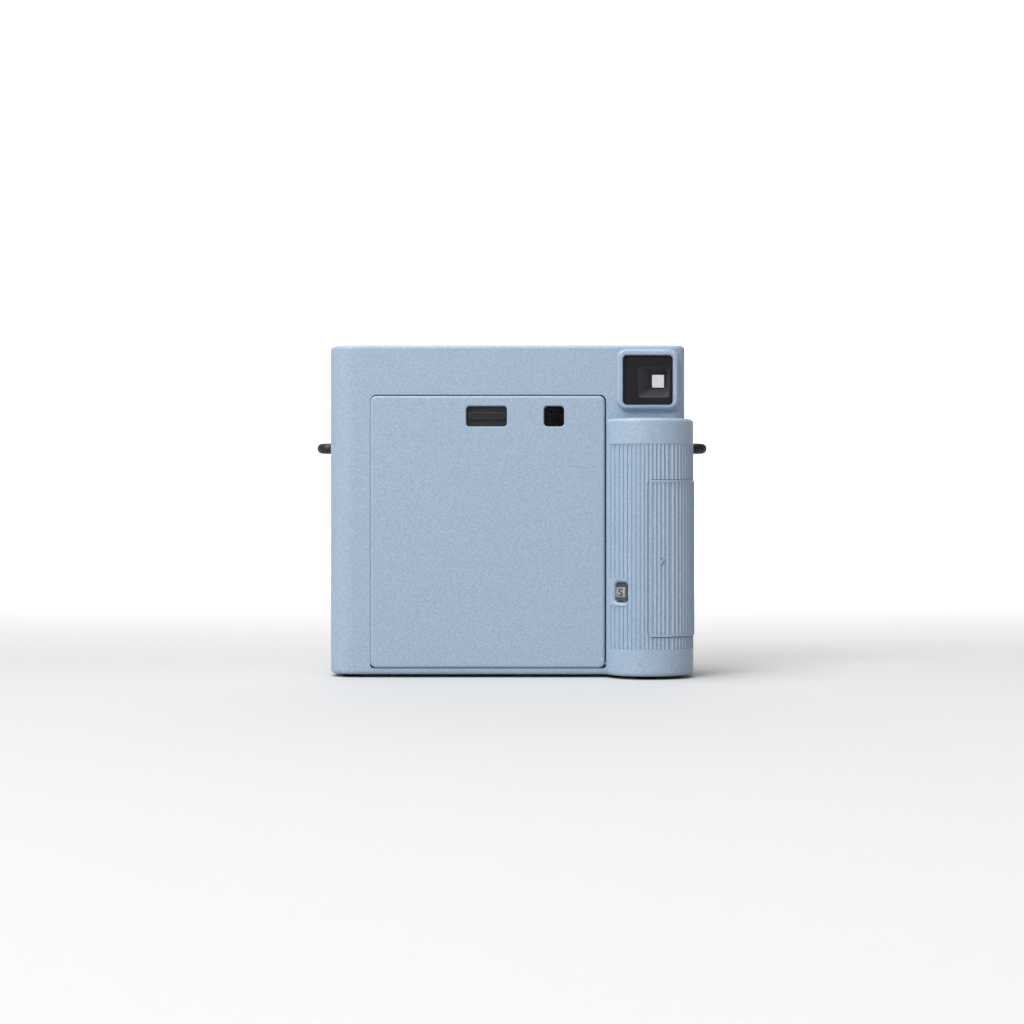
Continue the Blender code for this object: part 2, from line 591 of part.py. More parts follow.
def batteries():
    """Two cells one above the other in a trough, with a spring at the top and a contact below."""
    x, y = BATTERY
    for name, low in (("lower", COVER_BOTTOM + 0.3), ("upper", COVER_BOTTOM + 0.9 + BATTERY_LENGTH)):
        high = low + BATTERY_LENGTH
        profile = [(0, high), (2.6, high), (2.6, high - 1.2), (BATTERY_RADIUS, high - 1.2),
                   (BATTERY_RADIUS, low), (0, low)]
        turned("battery_" + name, profile, "Z", (x, y, 0), WHITE, 24)
    inner = BATTERY_RADIUS + GAP
    outer = inner + 0.9
    trough = arc(x, y, outer, outer, 180, 360, 12) + list(reversed(arc(x, y, inner, inner, 180, 360, 12)))
    holder = slab("battery_holder", trough, 12.6, 72.7, "XY", BLACK)
    for name, low in (("low", 12.6), ("high", 71.3)):
        end = circle(x, y, BATTERY_RADIUS - 0.4, 20)
        bridge = slab("holder_end_" + name, end, low, low + 1.4, "XY")
        web = slab("holder_web_" + name, rectangle(x - 5.5, x + 5.5, y - outer + 0.3, y - 3), low, low + 1.4, "XY")
        join(holder, bridge, web)
    spring("battery_spring", "Z", (x, y, 0), 70.3, 71.0, 5.0, 0.2, 2.5, BRASS, top_radius=1.6)
    slab("battery_contact", circle(x, y, 4.5, 16), 14.3, 15.0, "XY", BRASS)


def counter():
    """The frame counter: a small numbered drum behind a tilted window in the grip."""
    normal = Vector((math.sin(COUNTER_ANGLE), math.cos(COUNTER_ANGLE), 0))
    surface = Vector((COUNTER_X, GRIP_BACK_Y + GRIP_CURVE * math.cos(COUNTER_ANGLE), COUNTER_Z))
    window = slab("counter_window", rectangle(COUNTER_X - 2.6, COUNTER_X + 2.6, COUNTER_Z - 3.35,
                                              COUNTER_Z + 3.35, 0.9),
                  surface.y - 1.5, surface.y - 0.7, "XZ", GLASS)
    turn_about_z(window, -COUNTER_ANGLE, surface.x, surface.y)
    drum = turned("counter_drum", [(0, 3.0), (0.8, 3.0), (0.8, 2.3), (DRUM_RADIUS, 2.3), (DRUM_RADIUS, -2.3),
                                   (0.8, -2.3), (0.8, -3.0), (0, -3.0)], "X", (0, 0, 0), BLACK, 28)
    middle = surface - normal * (DRUM_RADIUS + DRUM_DEPTH)
    drum.matrix_world = (Matrix.Translation(middle * MM) @ Matrix.Rotation(-COUNTER_ANGLE, 4, "Z")
                         @ drum.matrix_world)


# ------------------------------------------------------------------ lens
def lens():
    """The dial, the barrel it drives, the glass and mirror in the barrel, and the shutter behind."""
    centre = (LENS_X, 0, LENS_Z)
    dial = turned("lens_dial", [(BARREL_RADIUS + 0.7, -20.1), (DIAL_RADIUS, -20.1), (DIAL_RADIUS, -27.0),
                                (DIAL_RADIUS - 1.6, -REAR_MOST), (BARREL_RADIUS + 1.4, -REAR_MOST),
                                (BARREL_RADIUS + 0.7, -28.1)], "Y", centre, BLUE, 48, ring=True)
    for index in range(3):
        angle = math.radians(90 + 120 * index)
        notch = rod(f"dial_notch_{index}", "Y", (LENS_X + (DIAL_RADIUS + 1.6) * math.cos(angle), 0,
                                                 LENS_Z + (DIAL_RADIUS + 1.6) * math.sin(angle)),
                    -35, -21.5, 2.6, None, 16)
        cut(dial, notch)
    barrel = turned("lens_barrel", [(BARREL_RADIUS - 1.8, -8), (BARREL_RADIUS, -8), (BARREL_RADIUS, -27.4),
                                    (BARREL_RADIUS - 0.5, -27.9), (17.5, -27.9), (16.8, -24.6), (10.4, -24.6),
                                    (10.4, -22.6), (BARREL_RADIUS - 1.8, -22.6)],
                    "Y", centre, BLACK, 40, ring=True)
    mirror_angle = math.radians(35)
    mirror = (LENS_X + 22.8 * math.cos(mirror_angle), 0, LENS_Z + 22.8 * math.sin(mirror_angle))
    cut(barrel, rod("mirror_recess", "Y", mirror, -30, -26.2, 4.6, None, 20))
    turned("selfie_mirror", [(0, -26.5), (4.3, -26.5), (4.3, -27.3), (2.4, -27.8), (0, -28.0)], "Y", mirror,
           MIRROR, 20)
    turned("lens_ring", [(9.9, -24.9), (16.3, -24.9), (16.3, -26.6), (10.8, -25.6)], "Y", centre, BLACK, 32,
           ring=True)
    turned("front_lens", [(0, -22.2), (9.4, -22.8), (9.4, -24.4), (6.6, -25.6), (3.4, -26.2), (0, -26.4)], "Y",
           centre, GLASS, 24)
    tube("shutter_plate", "Y", centre, -18.2, -17.2, 4.5, 26.8, BLACK, 32)
    rod("shutter_pivot", "Y", (LENS_X, 0, LENS_Z - 13), -16.9, -14.2, 0.8, STEEL, 12)
    for name, side, depth in (("left", 1, -16.6), ("right", -1, -15.6)):
        outline = (arc(LENS_X, LENS_Z - 13, 2.2, 2.2, 180, 360, 6)
                   + [(LENS_X + 2.2 + 2.4 * side, LENS_Z - 6)]
                   + arc(LENS_X + side * 1.2, LENS_Z, 6.2, 6.2, 0, 180, 8)
                   + [(LENS_X - 2.2 + 2.4 * side, LENS_Z - 6)])
        slab("shutter_blade_" + name, [outline, circle(LENS_X, LENS_Z - 13, 1.1, 12)], depth, depth + 0.5,
             "XZ", STEEL)


# ------------------------------------------------------------------ film chamber and transport
def film_chamber():
    """The black box that the film pack lies in, and the cone between its aperture and the lens."""
    left, right, bottom, top = 50.1, -32.9, 3.4, 99.8
    chassis = slab("film_chassis", rectangle(right, left, bottom, top, 1.5), -1.5, 14.7, "XZ", BLACK)
    room = slab("film_room", rectangle(right + 1.3, left - 1.3, bottom + 1.3, top - 1.3, 1.0), FILM_PLANE, 20,
                "XZ")
    aperture = slab("film_aperture", rectangle(LENS_X - 31.5, LENS_X + 31.5, 19.0, 82.0), -5, 5, "XZ")
    film_exit = slab("film_exit", rectangle(-28.5, 45.9, 0.05, 2.5), top - 5, top + 5, "XY")
    hinge_relief = slab("hinge_relief", rectangle(right - 1, left + 1, 0, 8.2), 13.0, 20, "XZ")
    latch_relief = slab("latch_relief", rectangle(LATCH_RIGHT - 3, LATCH_LEFT + 3, 97.0, 101.0), 13.8, 20,
                        "XZ")
    cut(chassis, room, aperture, film_exit, hinge_relief, latch_relief)
    cone = pyramid("light_cone", (LENS_X - 22, LENS_X + 22, 29, 73), (LENS_X - 33, LENS_X + 33, 17.5, 83.5),
                   -7.4, -1.8, BLACK)
    cut(cone, pyramid("cone_room", (LENS_X - 20.5, LENS_X + 20.5, 30.5, 71.5),
                      (LENS_X - 31.8, LENS_X + 31.8, 18.7, 82.3), -7.7, -1.5))


def rollers():
    """Two developer rollers, squeezed together by their bracket, and the gears that turn them."""
    for name, y, gear_phase in (("front", FRONT_ROLLER_Y, 0.0), ("rear", REAR_ROLLER_Y, 11.25)):
        profile = [(0, 50.4), (1.2, 50.4), (1.2, 47.4), (ROLLER_RADIUS, 47.4), (ROLLER_RADIUS, -30.0),
                   (1.2, -30.0), (1.2, -37.4), (0, -37.4)]
        turned("roller_" + name, profile, "X", (0, y, ROLLER_Z), STEEL, 20)
        slab("roller_gear_" + name, [gear_outline(y, ROLLER_Z, 16, gear_phase), circle(y, ROLLER_Z, 1.4, 16)],
             GEAR_LOW, GEAR_HIGH, "YZ", NYLON)
    bracket = slab("roller_bracket", rectangle(-9.4, 11.2, 101.0, 110.8), -32.2, 49.6, "YZ", STEEL)
    bay = slab("roller_bay", rectangle(-20, 20, 90, 130), -30.7, 48.1, "YZ")
    cut(bracket, bay)
    # Two cross bars turn the two end plates into one bracket.
    for name, y in (("front", -9.2), ("rear", 10.0)):
        join(bracket, slab("bracket_bar_" + name, rectangle(y, y + 1.0, 101.2, 104.5), -31.5, 48.9, "YZ"))
    for name, y in (("front", FRONT_ROLLER_Y), ("rear", REAR_ROLLER_Y)):
        cut(bracket, rod("bracket_bore_" + name, "X", (0, y, ROLLER_Z), -40, 60, 1.5))
    idler_y, idler_z = IDLER
    angle = math.degrees(math.atan2(idler_z - ROLLER_Z, idler_y - FRONT_ROLLER_Y))
    phase = angle + 180 - meshing_turn(angle, 0.0, 16, 24)
    slab("idler_gear", [gear_outline(idler_y, idler_z, 24, phase), circle(idler_y, idler_z, 1.6, 16)],
         GEAR_LOW, GEAR_HIGH, "YZ", NYLON)
    rod("idler_pin", "X", (0, idler_y, idler_z), GEAR_LOW - 1.5, -33.4, 1.3, STEEL, 12)
    pinion_y, pinion_z = PINION
    down = -90.0
    pinion_phase = down + 180 - meshing_turn(down, phase, 24, 8)
    slab("motor_pinion", [gear_outline(pinion_y, pinion_z, 8, pinion_phase), circle(pinion_y, pinion_z, 1.0, 12)],
         GEAR_LOW, GEAR_HIGH, "YZ", BRASS)
    motor = rod("motor", "X", (0, pinion_y, pinion_z), -58.5, -38.4, 5.9, STEEL, 20)
    join(motor, rod("motor_shaft", "X", (0, pinion_y, pinion_z), -39.0, GEAR_HIGH, 0.7, None, 12))


def meshing_turn(angle, phase, driver_teeth, follower_teeth):
    """Turn of the follower that puts its tooth gap where the driver has a tooth, at that angle."""
    driver_pitch = 360 / driver_teeth
    ahead = (angle - phase) / driver_pitch
    fraction = ahead - math.floor(ahead)
    return (0.5 - fraction) * 360 / follower_teeth


def exit_flap():
    """A light flap under the film slot."""
    slab("exit_flap", rectangle(-2.6, 3.7, 113.1, 113.7), -28.9, 46.3, "YZ", BLACK)


# ------------------------------------------------------------------ flash and electrics
def flash():
    """Flash window, reflector, tube and capacitor, the light sensor and the circuit board."""
    low_x, high_x, low_z, high_z = FLASH
    slab("flash_window", rectangle(low_x + GAP, high_x - GAP, low_z + GAP, high_z - GAP, 1.7), -19.6, -18.0,
         "XZ", GLASS)
    reflector = slab("flash_reflector", rectangle(low_x + 1, high_x - 1, low_z + 1, high_z - 1), -17.4, -9.8,
                     "XZ", MIRROR)
    dish = pyramid("flash_dish", (low_x + 2, high_x - 2, low_z + 2, high_z - 2),
                   (low_x + 4, high_x - 4, 103.5, 106.5), -18.0, -10.8)
    cut(reflector, dish)
    rod("flash_tube", "X", (0, -13.2, 105.0), low_x + 4.6, high_x - 4.6, 1.1, GLASS, 12)
    turned("flash_capacitor", [(0, 58), (5.0, 58), (5.3, 57.4), (5.3, 20.4), (5.0, 20), (0, 20)], "Z",
           (57.2, -5.5, 0), BLACK, 24)
    rod("light_sensor", "Y", (SENSOR[0], 0, SENSOR[1]), -19.6, -17.9, SENSOR_RADIUS, GLASS, 20)
    slab("circuit_board", rectangle(-59.0, -38.0, 58.0, 96.5, 1.0), -13.4, -12.4, "XZ", GREEN)


def shutter_button():
    """A round button with a flange behind the cover, on its spring."""
    centre = (BUTTON[0], 0, BUTTON[1])
    turned("shutter_button", [(0, -15.8), (1.8, -15.8), (1.8, -17.4), (7.3, -17.4), (7.3, -18.4),
                              (BUTTON_RADIUS, -18.4), (BUTTON_RADIUS, -23.6), (BUTTON_RADIUS - 0.8, -24.4),
                              (0, -24.6)], "Y", centre, WHITE, 28)
    spring("shutter_spring", "Y", centre, -17.1, -13.7, 3.2, 0.25, 3, STEEL)


rear_cover()
front_cover()
lugs()
feet()
screws()
film_door()
door_latch()
pressure_pads()
viewfinder()
battery_cover()
batteries()
counter()
lens()
film_chamber()
rollers()
exit_flap()
flash()
shutter_button()
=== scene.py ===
"""Looks of the instant camera: every outside piece modelled fine, around the fixed CAD frame."""
import math

import bmesh
import bpy
from mathutils import Matrix, Vector


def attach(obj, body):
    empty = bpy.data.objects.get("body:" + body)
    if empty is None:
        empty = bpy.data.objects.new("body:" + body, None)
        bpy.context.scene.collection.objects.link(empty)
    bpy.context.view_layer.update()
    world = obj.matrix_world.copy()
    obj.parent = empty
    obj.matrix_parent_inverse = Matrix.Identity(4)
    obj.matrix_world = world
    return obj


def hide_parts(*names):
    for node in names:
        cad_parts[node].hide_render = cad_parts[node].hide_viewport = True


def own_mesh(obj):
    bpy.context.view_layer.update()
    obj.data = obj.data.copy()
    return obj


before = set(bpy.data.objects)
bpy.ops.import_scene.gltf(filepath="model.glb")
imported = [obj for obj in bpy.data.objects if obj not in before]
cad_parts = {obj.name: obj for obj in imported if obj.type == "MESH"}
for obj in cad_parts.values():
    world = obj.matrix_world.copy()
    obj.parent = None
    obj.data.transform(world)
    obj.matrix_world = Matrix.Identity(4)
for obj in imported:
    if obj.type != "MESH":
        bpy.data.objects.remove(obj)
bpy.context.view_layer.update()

MM = 0.001
bpy.ops.object.select_all(action="DESELECT")


# ---------------------------------------------------------------- the studio
# A plain pale floor that sweeps up into a pale wall, a large soft lamp high at the
# camera's left, a weaker one overhead, and a level camera straight behind the film door.
CAMERA_DISTANCE = 0.75
CAMERA_HEIGHT = 0.05903
CAMERA_LENS = 72.25
FLOOR_SIZE = 6.0
FAR_EDGE = -2.9               # vertices beyond this Y lie on the floor's far edge
WALL_RISE = 4.0

bpy.ops.mesh.primitive_plane_add(size=FLOOR_SIZE, location=(0, 0, 0))
floor = bpy.context.object
floor.name = "studio_floor"
bpy.ops.object.mode_set(mode="EDIT")
bpy.ops.mesh.select_mode(type="EDGE")
sweep = bmesh.from_edit_mesh(floor.data)
for edge in sweep.edges:
    edge.select_set(all(vertex.co.y < FAR_EDGE for vertex in edge.verts))
bmesh.update_edit_mesh(floor.data)
bpy.ops.mesh.extrude_region_move(TRANSFORM_OT_translate={"value": (0, 0, WALL_RISE)})
for edge in bmesh.from_edit_mesh(floor.data).edges:
    edge.select_set(all(vertex.co.y < FAR_EDGE and vertex.co.z < 0.01 for vertex in edge.verts))
bpy.ops.mesh.bevel(offset=1.0, segments=24)
bpy.ops.object.mode_set(mode="OBJECT")
bpy.ops.object.shade_smooth()
paper = bpy.data.materials.new("studio_paper")
paper.use_nodes = True
paper.node_tree.nodes["Principled BSDF"].inputs["Base Color"].default_value = (0.66, 0.66, 0.66, 1)
paper.node_tree.nodes["Principled BSDF"].inputs["Roughness"].default_value = 0.9
floor.data.materials.append(paper)

bpy.context.scene.view_settings.view_transform = "Standard"
world = bpy.data.worlds.new("studio")
world.use_nodes = True
world.node_tree.nodes["Background"].inputs["Color"].default_value = (1.0, 1.0, 1.0, 1)
world.node_tree.nodes["Background"].inputs["Strength"].default_value = 0.15
bpy.context.scene.world = world


def softbox(name, place, size, power):
    """A square soft lamp that looks at the middle of the camera."""
    bpy.ops.object.light_add(type="AREA", location=place)
    lamp = bpy.context.object
    lamp.name = name
    lamp.data.size = size
    lamp.data.energy = power
    middle = Vector((0, 0, 0.06))
    lamp.rotation_euler = (middle - Vector(place)).to_track_quat("-Z", "Y").to_euler()


softbox("key_lamp", (0.72, 1.15, 1.05), 0.8, 21)
softbox("top_lamp", (0.25, 0.2, 1.4), 0.9, 15)
softbox("wall_lamp", (0.0, -1.2, 1.6), 1.6, 70)
bpy.data.objects["wall_lamp"].rotation_euler = (math.radians(-55), 0, 0)

bpy.ops.object.camera_add(location=(0, CAMERA_DISTANCE, CAMERA_HEIGHT),
                          rotation=(math.radians(90), 0, math.radians(180)))
camera = bpy.context.object
camera.name = "camera"
camera.data.sensor_width = 36
camera.data.lens = CAMERA_LENS
bpy.context.scene.camera = camera


# ---------------------------------------------------------------- the casing, before it is parted
# The body is one square box with a hand grip down its side, moulded in blue ABS with a fine
# eroded grain. The grip's ribbed band is cut in the mould. Both halves come from this shell.
SIDE = 65.35
TOP = 118.6
BOTTOM = 1.1
FLOOR = 1.9                   # thickness of the bottom wall
FRONT, BACK = -19.75, 17.25
GRIP_SIDE = -61.9
WALL = 2.0
GRIP_TOP = 92.2
GRIP_EDGE = -33.6
CREST_X = -47.7
CREST_Y = 12.9
REAR_CURVE = 15.5
SIDE_CURVE = 17.3
BULGE = (-49.2, -10.0)
BULGE_CURVE = (15.8, 13.0)
EDGE = 1.4                    # rounding of the top and bottom edges
REAR_STEPS = 28               # facets of the grip's arc between the film door and the crest
RIB_PITCH = 1.44
SIDE_RIB_PITCH = 1.6
RIB_BAND = (10.6, 83.07)
RIB_HEIGHT = 0.42
RIB_FLAT = 0.12
RIB_SLOPE = 0.55
RIB_TURN = -56.3              # beyond this X the ribs are evenly spaced along the arc
FIRST_SIDE_RIB = 0.6
EXIT_SLOT = (-29.3, 46.7, -2.2, 2.6)
COVER_OPENING = (-80, -47.6, -3.8, 40, 14.82, 70.48)
LUG_SLOT = (-5.3, 5.3, 79.95, 84.25)


def nodes_of(material):
    """Switch a material to nodes, and give its tree and its shader."""
    material.use_nodes = True
    return material.node_tree, material.node_tree.nodes["Principled BSDF"]


def moulded(name, colour, roughness, grain=0.35, relief=0.018, speckle=0.05, shine=0.5, metallic=0.0):
    """Moulded plastic: fine grain, faint specks, and gloss that differs slightly from place to place."""
    material = bpy.data.materials.new(name)
    tree, shader = nodes_of(material)
    place = tree.nodes.new("ShaderNodeTexCoord")
    fine = tree.nodes.new("ShaderNodeTexNoise")
    fine.inputs["Scale"].default_value = 1 / (grain * MM)
    fine.inputs["Detail"].default_value = 2.0
    tree.links.new(place.outputs["Object"], fine.inputs["Vector"])
    wide = tree.nodes.new("ShaderNodeTexNoise")
    wide.inputs["Scale"].default_value = 45.0
    wide.inputs["Detail"].default_value = 3.0
    tree.links.new(place.outputs["Object"], wide.inputs["Vector"])

    specks = tree.nodes.new("ShaderNodeMapRange")
    specks.inputs["From Min"].default_value = 0.3
    specks.inputs["From Max"].default_value = 0.7
    tree.links.new(fine.outputs["Fac"], specks.inputs["Value"])
    tint = tree.nodes.new("ShaderNodeMix")
    tint.data_type = "RGBA"
    tint.inputs["A"].default_value = (*[channel * (1 - speckle) for channel in colour], 1)
    tint.inputs["B"].default_value = (*[channel * (1 + speckle) for channel in colour], 1)
    tree.links.new(specks.outputs["Result"], tint.inputs["Factor"])
    tree.links.new(tint.outputs["Result"], shader.inputs["Base Color"])

    gloss = tree.nodes.new("ShaderNodeMapRange")
    gloss.inputs["From Min"].default_value = 0.3
    gloss.inputs["From Max"].default_value = 0.7
    gloss.inputs["To Min"].default_value = roughness * 0.92
    gloss.inputs["To Max"].default_value = min(roughness * 1.08, 1.0)
    tree.links.new(wide.outputs["Fac"], gloss.inputs["Value"])
    tree.links.new(gloss.outputs["Result"], shader.inputs["Roughness"])

    bump = tree.nodes.new("ShaderNodeBump")
    bump.inputs["Strength"].default_value = 0.6
    bump.inputs["Distance"].default_value = relief * MM
    tree.links.new(fine.outputs["Fac"], bump.inputs["Height"])
    tree.links.new(bump.outputs["Normal"], shader.inputs["Normal"])
    shader.inputs["Specular IOR Level"].default_value = shine
    shader.inputs["Metallic"].default_value = metallic
    return material


BLUE = moulded("glacier_blue_plastic", (0.325, 0.418, 0.53), 0.45, grain=0.62, relief=0.08, speckle=0.13)
BLACK = moulded("black_plastic", (0.010, 0.010, 0.012), 0.45, grain=0.4, relief=0.03, speckle=0.2, shine=0.25)


def settle(obj):
    """Put an object's place, turn and size into its mesh."""
    bpy.ops.object.select_all(action="DESELECT")
    obj.select_set(True)
    bpy.context.view_layer.objects.active = obj
    bpy.ops.object.transform_apply(location=True, rotation=True, scale=True)
    return obj


def block(name, low_x, high_x, low_y, high_y, low_z, high_z):
    """A cube primitive stretched between its limits."""
    centre = Vector((low_x + high_x, low_y + high_y, low_z + high_z)) * MM / 2
    size = Vector((high_x - low_x, high_y - low_y, high_z - low_z)) * MM
    bpy.ops.mesh.primitive_cube_add(size=1, location=centre, scale=size)
    bpy.context.object.name = name
    return settle(bpy.context.object)


def round_edges(obj, radius, segments, wanted):
    """Bevel the edges that wanted(edge, middle, direction) picks, with middle in millimetres."""
    bpy.context.view_layer.objects.active = obj
    bpy.ops.object.mode_set(mode="EDIT")
    bpy.ops.mesh.select_mode(type="EDGE")
    bpy.ops.mesh.select_all(action="DESELECT")
    shape = bmesh.from_edit_mesh(obj.data)
    for edge in shape.edges:
        first, second = (vertex.co for vertex in edge.verts)
        middle = (first + second) / 2 / MM
        edge.select_set(bool(wanted(edge, middle, (second - first).normalized())))
    bmesh.update_edit_mesh(obj.data)
    bpy.ops.mesh.bevel(offset=radius * MM, segments=segments, profile=0.5, clamp_overlap=False)
    bpy.ops.object.mode_set(mode="OBJECT")
    return obj


def rim_of(axis, level):
    """Picks the edges round a flat end face: the face across the axis at that level."""
    def wanted(edge, middle, direction):
        ends = [abs(face.normal[axis]) > 0.9 for face in edge.link_faces]
        return abs(middle[axis] - level) < 0.01 and any(ends) and not all(ends)
    return wanted


def prism(name, outline, low, high):
    """A flat outline, made from a filled circle, and drawn upwards."""
    bpy.ops.mesh.primitive_circle_add(vertices=len(outline), radius=1, fill_type="NGON")
    obj = bpy.context.object
    obj.name = name
    for vertex, (x, y) in zip(obj.data.vertices, outline):
        vertex.co = (x * MM, y * MM, low * MM)
    bpy.ops.object.mode_set(mode="EDIT")
    bpy.ops.mesh.select_all(action="SELECT")
    bpy.ops.mesh.extrude_region_move(TRANSFORM_OT_translate={"value": (0, 0, (high - low) * MM)})
    bpy.ops.mesh.select_all(action="SELECT")
    bpy.ops.mesh.normals_make_consistent(inside=False)
    bpy.ops.object.mode_set(mode="OBJECT")
    return settle(obj)


def combine(obj, cutter, operation):
    """Cut, join or keep what two solids share, and drop the second one."""
    modifier = obj.modifiers.new("combine", "BOOLEAN")
    modifier.operation = operation
    modifier.object = cutter
    bpy.ops.object.select_all(action="DESELECT")
    bpy.context.view_layer.objects.active = obj
    bpy.ops.object.modifier_apply(modifier=modifier.name)
    bpy.data.objects.remove(cutter)
    return obj


def carve(obj, *cutters):
    for cutter in cutters:
        combine(obj, cutter, "DIFFERENCE")
    return obj


def unite(obj, *pieces):
    for piece in pieces:
        combine(obj, piece, "UNION")
    return obj


def copy_of(obj, name):
    twin = obj.copy()
    twin.data = obj.data.copy()
    twin.name = name
    bpy.context.scene.collection.objects.link(twin)
    return twin


def joined(name, pieces):
    """Several meshes as one object."""
    bpy.ops.object.select_all(action="DESELECT")
    for piece in pieces:
        piece.select_set(True)
    bpy.context.view_layer.objects.active = pieces[0]
    bpy.ops.object.join()
    pieces[0].name = name
    return pieces[0]


def polish(obj, material, angle=32):
    """Smooth shading that keeps the flats flat, and the finish."""
    bpy.ops.object.select_all(action="DESELECT")
    obj.select_set(True)
    bpy.context.view_layer.objects.active = obj
    bpy.ops.object.shade_smooth_by_angle(angle=math.radians(angle))
    weights = obj.modifiers.new("weights", "WEIGHTED_NORMAL")
    weights.keep_sharp = True
    bpy.ops.object.modifier_apply(modifier=weights.name)
    obj.data.materials.clear()
    obj.data.materials.append(material)
    return obj


def arc(centre_x, centre_y, radius_x, radius_y, start, end, steps):
    """Points along an ellipse's arc. Angles are in degrees."""
    points = []
    for step in range(steps + 1):
        angle = math.radians(start + (end - start) * step / steps)
        points.append((centre_x + radius_x * math.cos(angle), centre_y + radius_y * math.sin(angle)))
    return points


def grip_outline(inset):
    """The grip from above: a round back, a side, and a lower bulge in front."""
    curve = REAR_CURVE - inset
    start = math.degrees(math.acos((GRIP_EDGE - inset - CREST_X) / curve))
    wide, deep = BULGE_CURVE
    return (arc(CREST_X, CREST_Y, curve, curve, start, 90, REAR_STEPS)
            + arc(CREST_X, CREST_Y, SIDE_CURVE - inset, curve, 90, 180, 36)[1:]
            + arc(*BULGE, wide - inset, deep - inset, 180, 270, 28)
            + arc(*BULGE, deep + 1 - inset, deep - inset, 270, 335, 16)[1:]
            + [(GRIP_EDGE - inset, BULGE[1] + 5)])


def body_block(name, inset, low, high):
    """The square body, moved in by inset."""
    obj = block(name, GRIP_SIDE + inset, SIDE - inset, FRONT + inset, BACK - inset, low, high)
    round_edges(obj, 9.0 - inset, 14, lambda edge, middle, along: abs(along.z) > 0.9 and middle.x > 0)
    round_edges(obj, 5.0 - inset, 10, lambda edge, middle, along: abs(along.z) > 0.9 and middle.x < 0
                and abs(middle.x - GRIP_SIDE - inset) < 0.01)
    return obj


def rib_places(proud):
    """Where each rib lies on the grip, the way it faces, and the distance to the next one.

    The steps are even seen from behind, and even along the arc round the side and the front.
    """
    places = []
    x = GRIP_EDGE - 1.15
    while x > RIB_TURN:
        curve = REAR_CURVE if x > CREST_X else SIDE_CURVE
        slope = (x - CREST_X) / curve
        y = CREST_Y + REAR_CURVE * math.sqrt(1 - slope * slope)
        facing = math.atan2(math.sqrt(1 - slope * slope) / REAR_CURVE, slope / curve)
        places.append((x, y, facing))
        x -= RIB_PITCH
    round_side = [(x, y) for x, y in grip_outline(0)[REAR_STEPS + 1:]
                  if (x < GRIP_EDGE - 2 or y > 0) and not (y > CREST_Y and x > RIB_TURN)]
    walked = FIRST_SIDE_RIB
    for (x0, y0), (x1, y1) in zip(round_side, round_side[1:]):
        length = math.hypot(x1 - x0, y1 - y0)
        while walked < length:
            share = walked / length
            places.append((x0 + (x1 - x0) * share, y0 + (y1 - y0) * share,
                           math.atan2(x0 - x1, y1 - y0)))
            walked += SIDE_RIB_PITCH
        walked -= length
    places = [(x + proud * math.cos(facing), y + proud * math.sin(facing), facing) for x, y, facing in places]
    return [(*place, math.dist(place[:2], follower[:2])) for place, follower in zip(places, places[1:])]


def grooves(name, proud, low, high, gaps=()):
    """Cutters for the valleys between ribs. Each rib drops steeply on one side and slopes on the other."""
    bars = []
    for x, y, facing, pitch in rib_places(proud):
        runs = [(low, high)]
        for low_x, high_x, low_z, high_z in gaps:
            if low_x < x - RIB_PITCH / 2 < high_x and y > CREST_Y:
                runs = [(low, low_z), (high_z, high)]
        end = pitch - RIB_FLAT
        profile = [(0.3, 0), (-RIB_HEIGHT, 0.12), (-RIB_HEIGHT, end / 2), (-RIB_HEIGHT, end - RIB_SLOPE),
                   (0, end), (0.3, end)]
        cosine, sine = math.cos(facing), math.sin(facing)
        outline = []
        for out, along in profile:
            out -= along ** 2 / (2 * REAR_CURVE)
            outline.append((x + out * cosine - along * sine, y + out * sine + along * cosine))
        bars += [prism("groove", outline, start, stop) for start, stop in runs if stop > start]
    return joined(name, bars)


COUNTER_GAP = (-41.0, -35.4, 25.9, 35.5)

casing = body_block("casing", 0, BOTTOM, TOP)
for level in (BOTTOM, TOP):
    round_edges(casing, EDGE, 5, rim_of(2, level))
grip = prism("grip", grip_outline(0), BOTTOM, GRIP_TOP)
for level in (BOTTOM, GRIP_TOP):
    round_edges(grip, EDGE, 5, rim_of(2, level))
unite(casing, grip)
carve(casing, grooves("grooves", 0, *RIB_BAND, gaps=[COUNTER_GAP]))
room = body_block("room", WALL, BOTTOM + FLOOR, TOP - WALL)
carve(casing, room, prism("grip_room", grip_outline(WALL), BOTTOM + FLOOR + 0.05, GRIP_TOP - WALL))
cover_gap = block("cover_gap", *COVER_OPENING)
round_edges(cover_gap, 1.45, 1, lambda edge, middle, along: abs(along.y) > 0.9 and middle.x > -50)
for side in (SIDE, -SIDE):
    carve(casing, block("lug_slot", side - 4.5, side + 4.5, *LUG_SLOT))
carve(casing, cover_gap, block("exit_slot", *EXIT_SLOT, TOP - 5, TOP + 5))


